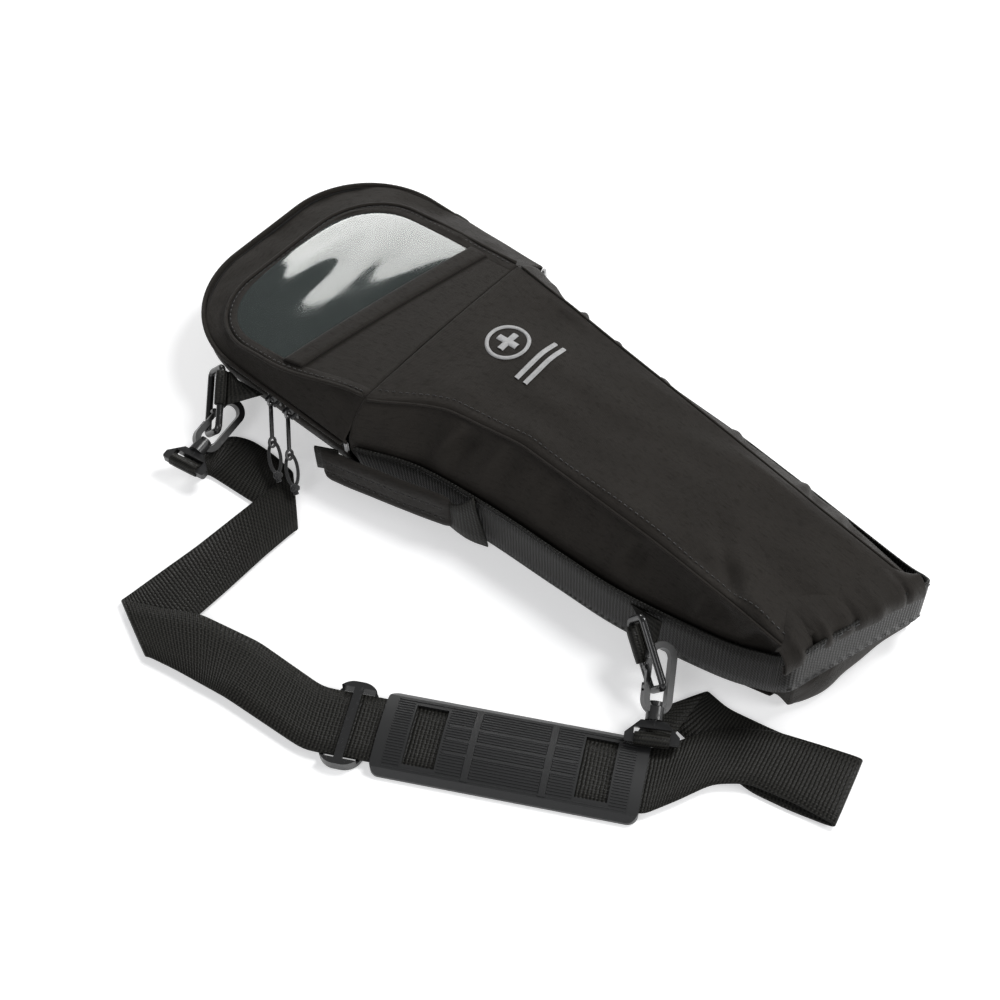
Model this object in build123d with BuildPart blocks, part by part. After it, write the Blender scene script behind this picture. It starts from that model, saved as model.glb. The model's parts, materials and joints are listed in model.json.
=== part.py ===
from build123d import *
import math
import os

# Shoulder carry bag for a portable oxygen cylinder, lying empty on its back.
# Millimetres. +X runs to the foot, -X to the head, -Y is the strap side and
# +Z comes out of the front panel. The origin is on the floor under the bag's middle.

# ---------------------------------------------------------------- driving sizes
fabric = 2.0            # padded polyester wall
web = 1.5               # webbing thickness
web_width = 48.0        # nominal 2 inch webbing
gap = 0.4               # free space between neighbouring layers

front_z = 78.0          # underside of the front panel
hinge_x = -112.0        # fold line of the lid
zip_z = 42.0            # middle of the zip chain
head_half = 112.0       # half width of the head at the zip
head_tip = -308.0
head_radius = 78.0
floor_inset = 14.0      # the head wall leans in towards the floor
lid_slope = 5.0         # degrees that the lid falls towards the tip

left_floor = [(-60, -91), (0, -84), (64, -82), (120, -79), (191, -66), (237, -55)]
left_seam = [(-60, -57), (0, -47), (64, -49), (120, -51), (191, -57), (237, -62)]
right_floor = [(-60, 88), (0, 82), (100, 76), (191, 67), (270, 52)]
right_seam = [(-60, 74), (0, 66), (100, 54), (191, 42), (270, 33)]
foot_left = (242.0, -56.0)
foot_right = (275.0, 46.0)

# The strap side's fold line: the strap, its web tabs and both rings swing about it.
swing_start = Vector(-210, -115.5, 39)
swing_end = Vector(139, -80.0, 42)


def level_band(places, width, thick):
    """Webbing on edge along a path of (x, y, lowest z), mitred at each corner."""
    last = len(places) - 1
    sections = []
    for i, (x, y, low) in enumerate(places):
        first, second = max(i - 1, 0), min(i, last - 1)
        before = Vector(*places[first + 1][:2]) - Vector(*places[first][:2])
        after = Vector(*places[second + 1][:2]) - Vector(*places[second][:2])
        along = (before.normalized() + after.normalized()).normalized()
        across = along.cross(Vector(0, 0, 1))
        mitre = 1 / along.dot(after.normalized())
        sections.append((Plane(origin=(x, y, low + width / 2), x_dir=across, z_dir=along), thick * mitre))
    with BuildPart() as band:
        for ends in zip(sections, sections[1:]):
            for place, thickness in ends:
                with BuildSketch(place):
                    Rectangle(thickness, width)
            loft(ruled=True)
    return band


def wall(stations):
    """A sheet wall through cross-sections, each an x and a closed list of (y, z)."""
    with BuildPart() as sheet:
        for x, outline in stations:
            with BuildSketch(Plane(origin=(x, 0, 0), x_dir=(0, 1, 0), z_dir=(1, 0, 0))):
                with BuildLine():
                    Polyline(*outline, close=True)
                make_face()
        loft(ruled=True)
    return sheet


def head_outline(inset, end_x):
    """The head's rounded end, with straight sides back to end_x."""
    half = head_half - inset
    tip = head_tip + inset
    radius = head_radius - inset
    with BuildSketch(mode=Mode.PRIVATE) as outline:
        with Locations(((tip + end_x) / 2, 0)):
            Rectangle(end_x - tip, 2 * half)
        fillet(outline.vertices().group_by(Axis.X)[0], radius)
    return outline.sketch


# ---------------------------------------------------------------- bag shell
with BuildPart() as back_panel:
    with BuildSketch():
        with BuildLine():
            half = head_half - floor_inset
            corner = head_radius - floor_inset
            start = (head_tip + head_radius, -half)
            tip_left = (head_tip + floor_inset, -half + corner)
            tip_right = (head_tip + floor_inset, half - corner)
            RadiusArc(start, tip_left, corner)
            Line(tip_left, tip_right)
            RadiusArc(tip_right, (start[0], half), corner)
            Line((start[0], half), (hinge_x, half))
            Spline((hinge_x, half), *right_floor, tangents=((1, 0), (1, -0.2)))
            Line(right_floor[-1], foot_right)
            Line(foot_right, foot_left)
            Line(foot_left, left_floor[-1])
            Spline(left_floor[-1], *reversed(left_floor[:-1]), (hinge_x, -half), tangents=((-1, -0.2), (-1, 0)))
            Line((hinge_x, -half), start)
        make_face()
    extrude(amount=fabric)

wall_low = fabric + gap
wall_top = front_z - gap

left_stations = [(hinge_x + 0.6, [
    (-head_half + floor_inset, wall_low), (-head_half, zip_z + 4), (-82, wall_top),
    (-82 + fabric, wall_top), (-head_half + fabric, zip_z + 3), (-head_half + floor_inset + fabric, wall_low)])]
for (x, floor_y), (_, seam_y) in zip(left_floor, left_seam):
    left_stations.append((x, [
        (floor_y, wall_low), (floor_y + 2, web_width + 3), (seam_y, wall_top),
        (seam_y + fabric, wall_top), (floor_y + 2 + fabric, web_width + 2), (floor_y + fabric, wall_low)]))
side_gusset_left = wall(left_stations)

right_stations = [(hinge_x + 0.6, [
    (head_half - floor_inset, wall_low), (head_half, zip_z + 4), (78, wall_top),
    (78 - fabric, wall_top), (head_half - fabric, zip_z + 3), (head_half - floor_inset - fabric, wall_low)])]
for (x, floor_y), (_, seam_y) in zip(right_floor, right_seam):
    right_stations.append((x, [
        (floor_y, wall_low), (floor_y + 2, web_width + 3), (seam_y, wall_top),
        (seam_y - fabric, wall_top), (floor_y + 2 - fabric, web_width + 2), (floor_y - fabric, wall_low)]))
side_gusset_right = wall(right_stations)

with BuildPart() as front_panel:
    with BuildSketch(Plane.XY.offset(front_z)):
        with BuildLine():
            near_hinge = hinge_x + 0.6
            Line((near_hinge, -84), (near_hinge, 80))
            Spline((near_hinge, 80), *right_seam)
            Line(right_seam[-1], left_seam[-1])
            Spline(left_seam[-1], *reversed(left_seam[:-1]), (near_hinge, -84))
        make_face()
    extrude(amount=fabric)

foot_run = Vector(*foot_right) - Vector(*foot_left)
foot_length = foot_run.length
foot_middle = (Vector(*foot_right) + Vector(*foot_left)) * 0.5
foot_face = Plane(
    origin=(foot_middle.X, foot_middle.Y, wall_low),
    x_dir=foot_run.normalized(),
    z_dir=(0, 0, 1))

with BuildPart() as foot_panel:
    with BuildSketch(foot_face):
        with Locations((-2, -fabric / 2)):
            Rectangle(foot_length - 10, fabric)
    extrude(amount=wall_top - wall_low)

# A second layer inside the foot, where the cylinder stands.
with BuildPart() as foot_lining:
    with BuildSketch(foot_face.offset(2)):
        with Locations((-4, fabric + 3)):
            Rectangle(foot_length - 34, 3)
    extrude(amount=56)

# A thin foam sheet on the back panel keeps the cylinder off the wearer's hip.
with BuildPart() as back_padding:
    with BuildSketch(Plane.XY.offset(fabric + gap)):
        with BuildLine():
            Polyline((-230, -70), (-90, -78), (60, -66), (210, -42), (232, 28), (60, 62), (-90, 78), (-230, 70),
                     close=True)
        make_face()
        fillet(vertices(), 12)
    extrude(amount=3)

# The lower half of the head's side wall, from the floor seam up to the zip.
wall_end = hinge_x - 0.6
wall_high = zip_z - 5
with BuildPart() as head_wall:
    with BuildSketch(Plane.XY.offset(wall_low)):
        add(head_outline(floor_inset, wall_end))
    with BuildSketch(Plane.XY.offset(wall_high)):
        add(head_outline(0, wall_end))
    loft(ruled=True)
    with BuildSketch(Plane.XY.offset(wall_low - 1)):
        add(head_outline(floor_inset + fabric, wall_end + 20))
    with BuildSketch(Plane.XY.offset(wall_high)):
        add(head_outline(fabric, wall_end + 20))
    loft(ruled=True, mode=Mode.SUBTRACT)

# ---------------------------------------------------------------- zip
coil_inset = 1.0
coil_width = 2.6
coil_height = 2.6
coil_gap = 1.6
tape = 1.0
chain_end = hinge_x - 4


def chain_half(coil_low, tape_low, tape_high):
    """One side of the zip round the head: a coil bead on a woven tape."""
    with BuildPart() as chain:
        with BuildSketch(Plane.XY.offset(coil_low)):
            add(head_outline(coil_inset, chain_end))
            add(head_outline(coil_inset + coil_width, chain_end + 20), mode=Mode.SUBTRACT)
        extrude(amount=coil_height)
        with BuildSketch(Plane.XY.offset(tape_low)):
            add(head_outline(fabric + 0.3, chain_end))
            add(head_outline(fabric + 0.3 + tape, chain_end + 20), mode=Mode.SUBTRACT)
        extrude(amount=tape_high - tape_low)
    return chain


zip_chain_bag = chain_half(zip_z - coil_gap / 2 - coil_height, wall_high + gap, zip_z - coil_gap / 2 - 1)
zip_chain_lid = chain_half(zip_z + coil_gap / 2, zip_z + coil_gap / 2 + 1, zip_z + 7)

# Bar tacks close both ends of the zip.
with BuildPart() as zip_end_tacks:
    with BuildSketch(Plane.XY.offset(zip_z - 4.5)):
        with Locations((hinge_x - 2, -head_half + 1.5), (hinge_x - 2, head_half - 1.5)):
            Rectangle(2.4, 2.4)
    extrude(amount=9)

# ---------------------------------------------------------------- lid
lid_low = zip_z + 4.6
lid_end = hinge_x - 0.6
lid_top_z = front_z + fabric
lid_drop = math.tan(math.radians(lid_slope))
slope_cos = math.cos(math.radians(lid_slope))
slope_sin = math.sin(math.radians(lid_slope))
lid_face = Plane(
    origin=(lid_end, 0, lid_top_z - fabric),
    x_dir=(slope_cos, 0, slope_sin),
    z_dir=(-slope_sin, 0, slope_cos))
lid_reach = 168.0       # length of the lid's flat top along the slope
lid_left = -104.0
lid_right = 82.0


def lid_outline(inset, end_x):
    """The lid's flat top, drawn on the sloping lid face."""
    low_y = lid_left + inset
    high_y = lid_right - inset
    with BuildSketch(mode=Mode.PRIVATE) as outline:
        with Locations(((end_x - lid_reach + inset) / 2, (low_y + high_y) / 2)):
            Rectangle(end_x + lid_reach - inset, high_y - low_y)
        fillet(outline.vertices().group_by(Axis.X)[0], 56 - inset)
    return outline.sketch


border = 9.0
window_end = -52.0      # the window's lower edge, measured along the slope from the fold
hem_length = 15.0

# Border of the lid: a strip round the window that drapes down to the zip.
with BuildPart() as lid_border:
    with BuildSketch(Plane.XY.offset(lid_low)):
        add(head_outline(0, lid_end))
    with BuildSketch(Plane.XY.offset(lid_low + 4)):
        add(head_outline(0, lid_end))
    loft(ruled=True)
    with BuildSketch(Plane.XY.offset(lid_low + 4)):
        add(head_outline(0, lid_end))
    with BuildSketch(lid_face):
        add(lid_outline(0, 0))
    loft(ruled=True)
    with BuildSketch(Plane.XY.offset(lid_low - 0.5)):
        add(head_outline(fabric, lid_end + 30))
    with BuildSketch(Plane.XY.offset(lid_low + 3.5)):
        add(head_outline(fabric, lid_end + 30))
    loft(ruled=True, mode=Mode.SUBTRACT)
    with BuildSketch(Plane.XY.offset(lid_low + 3.5)):
        add(head_outline(fabric, lid_end + 30))
    with BuildSketch(lid_face.offset(-fabric)):
        add(lid_outline(fabric + 1, 30))
    loft(ruled=True, mode=Mode.SUBTRACT)
    with BuildSketch(lid_face.offset(-fabric - 4)):
        add(lid_outline(border, 30))
    extrude(amount=20, mode=Mode.SUBTRACT)

# Fabric between the window's hem and the fold line.
with BuildPart() as lid_panel:
    with BuildSketch(lid_face.offset(-fabric)):
        with Locations((window_end / 2, (lid_left + lid_right) / 2)):
            Rectangle(-window_end - 0.4, lid_right - lid_left - 2 * border - 2 * gap)
    extrude(amount=fabric)

with BuildPart() as window:
    with BuildSketch(lid_face.offset(-1.4)):
        add(lid_outline(border + gap, window_end - gap))
    extrude(amount=0.8)

# The window's lower edge is bound by a folded, double-stitched strip.
with BuildPart() as window_hem:
    with BuildSketch(lid_face.offset(0.15)):
        with Locations((window_end, (lid_left + lid_right) / 2)):
            Rectangle(hem_length, lid_right - lid_left - 2 * border - 6)
    extrude(amount=1.4)

# Corded edge just above the zip.
with BuildPart() as lid_piping:
    with BuildSketch(Plane.XY.offset(lid_low + 0.4)):
        add(head_outline(-2.4, lid_end - 3))
        add(head_outline(-0.2, lid_end + 20), mode=Mode.SUBTRACT)
    extrude(amount=2.6)
    fillet(edges().filter_by(GeomType.LINE).filter_by(Axis.X), 0.4)

# ---------------------------------------------------------------- webbing sewn to the bag
clear = web / 2 + gap
foot_web_low = 30.0     # the webbing rides up the slanted foot
sling_path = [(hinge_x + 6, -head_half + 1.2, 1.0)]
sling_path += [(x, y - clear - 1.2, 1.0) for x, y in left_floor[:-1]]
sling_path += [(226, -62.0, 14.0), (foot_left[0] + 4.0, foot_left[1] - 10.0, foot_web_low)]
sling_path += [(foot_right[0] + 8.0, foot_right[1] + 4.0, foot_web_low), (266, 60.0, 14.0)]
sling_path += [(x, y + clear + 3.2, 1.0) for x, y in reversed(right_floor[:-1])]
sling_path += [(hinge_x + 8, head_half, 1.0)]
web_sling = level_band(sling_path, web_width, web)

# Loop of narrow webbing on the far rim, for hanging the bag up.
with BuildPart() as hang_loop:
    with BuildSketch(Plane(origin=(-216, 0, zip_z - 12), x_dir=(0, 1, 0), z_dir=(1, 0, 0))):
        with Locations((head_half + 5.2, 0)):
            RectangleRounded(10, 12, 4)
            RectangleRounded(7.4, 9.4, 2.8, mode=Mode.SUBTRACT)
    extrude(amount=12)

# Emblem stitched on the front panel: a ring round a plain plus sign, over two bars.
emblem_place = Plane(origin=(-52, 14, front_z + fabric), x_dir=(0, 1, 0), z_dir=(0, 0, 1))
with BuildPart() as emblem:
    with BuildSketch(emblem_place):
        with Locations((0, 14)):
            Circle(17)
            Circle(14, mode=Mode.SUBTRACT)
            Rectangle(18, 5.4)
            Rectangle(5.4, 18)
        with Locations((0, -13), (0, -21)):
            Rectangle(44, 4)
    extrude(amount=0.6)

# ---------------------------------------------------------------- zip sliders, pulls and cords
slider_length = 14.0
slider_xs = {"a": -186.0, "b": -168.0}
coil_outer_y = -head_half + coil_inset
bridge_y = -head_half - 5.0


def zip_slider(x):
    """Slider body: outer and inner plates joined by a post between the coils."""
    outer = Plane(origin=(x, coil_outer_y - 0.4, zip_z), x_dir=(1, 0, 0), z_dir=(0, -1, 0))
    inner = Plane(origin=(x, coil_outer_y + coil_width + 0.4, zip_z), x_dir=(1, 0, 0), z_dir=(0, 1, 0))
    with BuildPart() as slider:
        with BuildSketch(outer):
            with Locations((0, -0.4)):
                RectangleRounded(slider_length, 8.4, 2.4)
        extrude(amount=1.6)
        with BuildSketch(inner):
            with Locations((0, 0.4)):
                RectangleRounded(slider_length, 8.4, 2.4)
        extrude(amount=1.4)
        with BuildSketch(outer.offset(0.2)):
            with Locations((-4, 0)):
                Rectangle(4, coil_gap - 0.4)
        extrude(amount=-coil_width - 1.2)
        with BuildSketch(outer.offset(1.4)):
            with Locations((-4.4, 0), (4.4, 0)):
                Rectangle(1.8, 3)
        extrude(amount=coil_outer_y - 0.4 - 1.4 - bridge_y + 0.9)
        with BuildSketch(Plane(origin=(x - 5, bridge_y, zip_z), x_dir=(0, 1, 0), z_dir=(1, 0, 0))):
            Circle(0.9)
        extrude(amount=10)
    return slider


pull_length = 30.0
pull_way = Vector(0.47, -0.53, -0.70).normalized()


def pull_plane(x):
    """Frame of a hanging pull tab: x_dir runs down the tab, z_dir through its eyes."""
    across = Vector(1, 0, 0) - pull_way * Vector(1, 0, 0).dot(pull_way)
    return Plane(origin=(x, bridge_y, zip_z), x_dir=pull_way, z_dir=across.normalized())


def zip_pull(x):
    """Flat metal tab with a small eye on the bridge and a larger eye for the cord."""
    place = pull_plane(x)
    with BuildPart() as pull:
        with BuildSketch(place.offset(-0.8)):
            Circle(3.2)
            with Locations((pull_length / 2, 0)):
                Rectangle(pull_length, 3.0)
            with Locations((pull_length, 0)):
                Circle(4.4)
            Circle(1.9, mode=Mode.SUBTRACT)
            with Locations((pull_length, 0)):
                Circle(2.7, mode=Mode.SUBTRACT)
        extrude(amount=1.6)
        fillet(edges().group_by(SortBy.LENGTH)[-1], 0.3)
    return pull


cord = 1.3
cord_reach = 24.0
cord_way = Vector(0.755, -0.573, -0.32).normalized()
knot = 3.6


def cord_loop(x):
    """Oval loop of cord through the pull's eye, ending in a knot."""
    eye = pull_plane(x).from_local_coords((pull_length, 0, 0))
    across = pull_plane(x).z_dir
    loop_place = Plane(origin=eye + cord_way * cord_reach / 2, x_dir=cord_way, z_dir=across.cross(cord_way))
    path = (loop_place * Ellipse(cord_reach / 2, 5.5)).wire()
    with BuildPart() as loop:
        with BuildSketch(Plane(origin=path @ 0, z_dir=path % 0)):
            Circle(cord)
        sweep(path=path)
        with Locations(eye + cord_way * (cord_reach + knot - 1)):
            Sphere(knot)
    return loop


zip_slider_a = zip_slider(slider_xs["a"])
zip_slider_b = zip_slider(slider_xs["b"])
zip_pull_a = zip_pull(slider_xs["a"])
zip_pull_b = zip_pull(slider_xs["b"])
pull_cord_a = cord_loop(slider_xs["a"])
pull_cord_b = cord_loop(slider_xs["b"])

# ---------------------------------------------------------------- carry handle
handle_start = Vector(-120, -119, 38)
handle_end = Vector(-24, -97.5, 44)
handle_run = handle_end - handle_start
handle_length = handle_run.length
handle_way = handle_run.normalized()
handle_out = handle_way.cross(Vector(0, 0, 1)).normalized()
handle_face = Plane(origin=(handle_start + handle_end) * 0.5, x_dir=handle_way, z_dir=handle_out)
grip_height = 34.0
grip_thick = 8.0
core_thick = 3.0

with BuildPart() as handle_core:
    with BuildSketch(handle_face.offset(-core_thick / 2)):
        with Locations((0, -grip_height / 2)):
            Rectangle(handle_length - 2, grip_height - 8)
    extrude(amount=core_thick)

with BuildPart() as handle_grip:
    with BuildSketch(handle_face.offset(-grip_thick / 2)):
        with Locations((0, -grip_height / 2)):
            RectangleRounded(handle_length - 12, grip_height, 3)
    extrude(amount=grip_thick)
    with BuildSketch(handle_face.offset(-core_thick / 2 - 0.4)):
        with Locations((0, -grip_height / 2)):
            Rectangle(handle_length + 10, grip_height - 7.2)
    extrude(amount=core_thick + 0.8, mode=Mode.SUBTRACT)

# The handle's two sewn ends stay on the side webbing. The one near the zip pulls is short.
with BuildPart() as handle_anchors:
    for end, way, reach in ((handle_start, -1, 15), (handle_end, 1, 30)):
        with BuildSketch(Plane(origin=end + handle_way * way * 1.5, x_dir=(0, 0, 1), z_dir=handle_way * way)):
            with Locations((-16, 0)):
                Rectangle(28, 3)
        extrude(amount=reach)

# ---------------------------------------------------------------- swivel snap hooks
hook_thick = 6.4
hook_half = 10.5
eye_half = 6.0
eye_start = 27.0
eye_end = 55.5
collar_start = 13.0
collar_end = 22.0
stem = 3.0
stem_head = 4.4
running = 0.08          # radial clearance of a turning fit
gate_pivot = (34.0, 8.2)
gate_tip = 53.0
gate_pin = 1.0
ring_seat = 34.0        # the ring's short bar rests here along the hook's axis


def across_plane(place, x):
    """Plane across the hook's axis, x along from its base bar."""
    return Plane(origin=place.from_local_coords((x, 0, 0)), x_dir=place.y_dir, z_dir=place.x_dir)


def snap_hook(place):
    """Hook body: an eye with one open side, a collar for the swivel and the gate's pin."""
    eye_middle = (eye_start + eye_end) / 2
    opening = (gate_pivot[0] + 3, gate_tip + 0.8)
    with BuildPart() as hook:
        with BuildSketch(place.offset(-hook_thick / 2)):
            with Locations((eye_middle, 0)):
                SlotCenterToCenter(eye_end - eye_start, 2 * hook_half)
                SlotCenterToCenter(eye_end - eye_start, 2 * eye_half, mode=Mode.SUBTRACT)
            with Locations(((opening[0] + opening[1]) / 2, 9)):
                Rectangle(opening[1] - opening[0], 8, mode=Mode.SUBTRACT)
        extrude(amount=hook_thick)
        with BuildSketch(across_plane(place, collar_start)):
            Circle(6)
        extrude(amount=collar_end - collar_start)
        with BuildSketch(across_plane(place, collar_start - 1)):
            Circle(stem + running)
        extrude(amount=12, mode=Mode.SUBTRACT)
        with BuildSketch(across_plane(place, collar_end)):
            Circle(stem_head + 0.4)
        extrude(amount=5, mode=Mode.SUBTRACT)
        # Fork for the gate, and the gate's pin across it.
        with BuildSketch(place.offset(-2.3)):
            with Locations((gate_pivot[0] + 1, 8.5)):
                Rectangle(8, 8)
        extrude(amount=4.6, mode=Mode.SUBTRACT)
        with BuildSketch(place.offset(-3)):
            with Locations(gate_pivot):
                Circle(gate_pin)
        extrude(amount=6)
    return hook


def hook_gate(place):
    """Sprung gate lever that closes the hook's open side."""
    with BuildPart() as gate:
        with BuildSketch(place.offset(-2)):
            with Locations(gate_pivot):
                Circle(2.3)
            with Locations(((gate_pivot[0] + gate_tip) / 2, gate_pivot[1])):
                Rectangle(gate_tip - gate_pivot[0], 3.2)
            with Locations((gate_tip - 6, gate_pivot[1] + 2)):
                Circle(1.8)
            with Locations(gate_pivot):
                Circle(gate_pin + running, mode=Mode.SUBTRACT)
        extrude(amount=4)
    return gate


def hook_base(place):
    """Swivel base: a slotted bar for the webbing, with a headed stem."""
    with BuildPart() as base:
        with BuildSketch(place.offset(-2.8)):
            with BuildLine():
                Polyline((-3, -18.5), (-3, 18.5), (3, 18.5), (12.4, 8.5), (12.4, -8.5), (3, -18.5), close=True)
            make_face()
            fillet(vertices().group_by(Axis.X)[0], 2)
            with Locations((5, 0)):
                Rectangle(4.4, 25, mode=Mode.SUBTRACT)
        extrude(amount=5.6)
        with BuildSketch(across_plane(place, 9)):
            Circle(stem)
        extrude(amount=15)
        with BuildSketch(across_plane(place, collar_end + 0.6)):
            Circle(stem_head)
        extrude(amount=3)
    return base


# ---------------------------------------------------------------- rings and their web tabs
ring_length = 54.0
ring_width = 26.0
ring_bar = 2.6          # bar radius
ring_span = ring_length - 2 * ring_bar
ring_reach = ring_width - 2 * ring_bar


def ring_frame(hook_place, lean):
    """Frame at the ring's middle: its short bar crosses the hook's eye, its long bars lean off the axis."""
    way = hook_place.x_dir * math.cos(math.radians(lean)) + hook_place.y_dir * math.sin(math.radians(lean))
    seat = hook_place.from_local_coords((ring_seat, 0, 0))
    return Plane(origin=seat + way * ring_span / 2, x_dir=way, z_dir=way.cross(hook_place.z_dir))


def rectangular_ring(place):
    """Closed rectangle of round bar with rounded corners."""
    path = (place * RectangleRounded(ring_span, ring_reach, 4)).wire()
    with BuildPart() as ring:
        with BuildSketch(Plane(origin=path @ 0, z_dir=path % 0)):
            Circle(ring_bar)
        sweep(path=path)
    return ring


tab_width = 26.0
tab_shift = 8.0         # the web tab sits this far past the ring's middle
tab_bore = ring_bar + gap


def web_tab(place, bar_side, root):
    """Webbing looped round a ring's long bar, running up to its stitching at the fold line."""
    bar_middle = place.from_local_coords((tab_shift, bar_side * ring_reach / 2, 0))
    bar_start = bar_middle - place.x_dir * tab_width / 2
    out = root - bar_middle
    out = (out - place.x_dir * out.dot(place.x_dir)).normalized()
    fold_way = (swing_start - swing_end).normalized()
    arrival = (root - bar_middle) - fold_way * (root - bar_middle).dot(fold_way)
    with BuildPart() as tab:
        with BuildSketch(Plane(origin=bar_start, z_dir=place.x_dir)):
            Circle(tab_bore + web)
            Circle(tab_bore, mode=Mode.SUBTRACT)
        extrude(amount=tab_width)
        with BuildSketch(Plane(origin=bar_middle + out * (tab_bore + web / 2), x_dir=place.x_dir, z_dir=out)):
            Rectangle(tab_width, web)
        with BuildSketch(Plane(origin=root, x_dir=fold_way, z_dir=arrival.normalized())):
            Rectangle(tab_width, web)
        loft(ruled=True)
    return tab


def hook_frames(bar, way, normal):
    """Frames of a hook and of its swivel base, which keeps its bar level."""
    hook_place = Plane(origin=bar, x_dir=way, z_dir=normal - way * normal.dot(way))
    base_place = Plane(origin=bar, x_dir=way, z_dir=Vector(0, 0, 1) - way * way.Z)
    return hook_place, base_place


upper_bar = Vector(-209, -187, 16.5)
lower_bar = Vector(193, -141, 14.5)
upper_hook_place, upper_base_place = hook_frames(
    upper_bar, Vector(-0.17, 0.985, 0.02).normalized(), Vector(0.64, 0.10, 0.76))
lower_hook_place, lower_base_place = hook_frames(
    lower_bar, Vector(-0.50, 0.80, 0.33).normalized(), Vector(0.50, -0.04, 0.865))

hook_upper = snap_hook(upper_hook_place)
hook_lower = snap_hook(lower_hook_place)
hook_gate_upper = hook_gate(upper_hook_place)
hook_gate_lower = hook_gate(lower_hook_place)
hook_base_upper = hook_base(upper_base_place)
hook_base_lower = hook_base(lower_base_place)

upper_ring_place = ring_frame(upper_hook_place, 36)
lower_ring_place = ring_frame(lower_hook_place, 26)
ring_upper = rectangular_ring(upper_ring_place)
ring_lower = rectangular_ring(lower_ring_place)
ring_tab_upper = web_tab(upper_ring_place, 1, swing_start)
ring_tab_lower = web_tab(lower_ring_place, -1, swing_end)

# ---------------------------------------------------------------- shoulder strap
level_low = 1.0         # first layer of the strap on the floor
level_mid = 3.0         # second layer, over the first fold
level_high = 5.0        # third layer, through the glide and the pad

pad_middle = Vector(126, -206, 0)
pad_turn = 28.3         # degrees from +X, shared by the pad and the glide
pad_length = 180.0
pad_width = 62.0
pad_place = Plane(origin=pad_middle, x_dir=Vector(1, 0, 0).rotate(Axis.Z, pad_turn), z_dir=(0, 0, 1))
glide_length = 31.0
glide_at = -(pad_length / 2 + glide_length / 2 + 5.5)
strap_half = web_width / 2
bend_at = glide_at - glide_length / 2 - 9


def on_pad(x, y):
    """A floor point given along and across the pad."""
    place = pad_place.from_local_coords((x, y, 0))
    return (place.X, place.Y)


fold_1 = ((-152, -134), (-112, -168))
fold_2 = ((-164, -291), (-116, -311))
fold_3 = ((306, -58), (319, -109))

run_1 = [(-197, -177), (-197, -132), *fold_1]
run_2 = [*fold_1, (-113, -263), fold_2[1], fold_2[0]]
run_3 = [
    fold_2[0], (-112, -264), (-64, -253), on_pad(bend_at, strap_half), on_pad(93, strap_half),
    (216, -106), (250, -80), *fold_3, (259, -122), (241, -137), (231, -160),
    on_pad(93, -strap_half), on_pad(bend_at, -strap_half), (-56, -299), fold_2[1]]
run_4 = [
    *fold_3, (262, -124), (216, -122), (204, -118), (178, -118), (172, -88), (186, -80), (214, -85), (248, -77)]

# Each end narrows into a tongue that loops round the base bar of its hook. A tongue is a
# list of (left, right) edge points, starting just below the bar.
tongue = 24.0
upper_tongue = [
    ((-220, -172, 6.0), (-199, -184, 6.0)), ((-212, -140, 3.0), (-199, -178, 3.0)),
    ((-197, -133, 1.75), (-197, -176, 1.75))]
lower_tongue = [((178, -131, 4.2), (198, -128, 4.2)), ((178, -117, 1.75), (204, -117, 1.75))]
band_middle = web / 2
bar_room = (6.4, 6.2)   # inside size of the loop round a base bar


def level_line(first, second):
    """Upright plane across a band whose edges are at the two points."""
    line = second - first
    line = Vector(line.X, line.Y, 0).normalized()
    return Plane(origin=(first + second) * 0.5, x_dir=line, z_dir=line.cross(Vector(0, 0, 1)))


with BuildPart() as shoulder_strap:
    for outline, low in ((run_1, level_low), (run_2, level_mid), (run_3, level_high), (run_4, level_low)):
        with BuildSketch(Plane.XY.offset(low)):
            with BuildLine():
                Polyline(*outline, close=True)
            make_face()
        extrude(amount=web)
    # The turned-over edge of each fold.
    for (first, second), low, high in (
            (fold_1, level_low, level_mid), (fold_2, level_mid, level_high), (fold_3, level_low, level_high)):
        first, second = Vector(*first), Vector(*second)
        fold_line = Plane(origin=(first + second) * 0.5 + Vector(0, 0, low), x_dir=second - first, z_dir=(0, 0, 1))
        with BuildSketch(fold_line):
            Rectangle((second - first).length, web)
        extrude(amount=high + web - low)
    for place, edges_along in ((upper_base_place, upper_tongue), (lower_base_place, lower_tongue)):
        loop_side = Plane(
            origin=place.from_local_coords((0, tongue / 2, 0)), x_dir=place.x_dir, z_dir=-place.y_dir)
        with BuildSketch(loop_side):
            with Locations((-0.1, 0)):
                RectangleRounded(bar_room[0] + 2 * web, bar_room[1] + 2 * web, 2.2)
                RectangleRounded(*bar_room, 0.9, mode=Mode.SUBTRACT)
        extrude(amount=tongue)
        below = -bar_room[1] / 2 - band_middle
        left, right = (place.from_local_coords((0, side * tongue / 2, below)) for side in (1, -1))
        stations = [(left, right)] + [(Vector(*first), Vector(*second)) for first, second in edges_along]
        for start, end in zip(stations, stations[1:]):
            for first, second in (start, end):
                with BuildSketch(level_line(first, second)):
                    Rectangle((second - first).length, web)
            loft(ruled=True)

glide_place = Plane(origin=on_pad(glide_at, 0) + (0,), x_dir=pad_place.x_dir, z_dir=(0, 0, 1))
glide_width = 62.0
rail = 4.5

# Oval three-bar glide: the strap passes over both end bars and under the middle one.
with BuildPart() as tri_glide:
    with BuildSketch(glide_place.offset(level_low)):
        RectangleRounded(glide_length, glide_width, 13)
        Rectangle(glide_length - 9, glide_width - 2 * rail, mode=Mode.SUBTRACT)
    extrude(amount=level_high - level_low - gap)
    with BuildSketch(glide_place.offset(level_low)):
        RectangleRounded(glide_length, glide_width, 13)
        Rectangle(glide_length + 9, glide_width - 2 * rail, mode=Mode.SUBTRACT)
    extrude(amount=8.5)
    with BuildSketch(glide_place.offset(level_high + web + gap)):
        Rectangle(6, glide_width - rail)
    extrude(amount=2.6)

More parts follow.
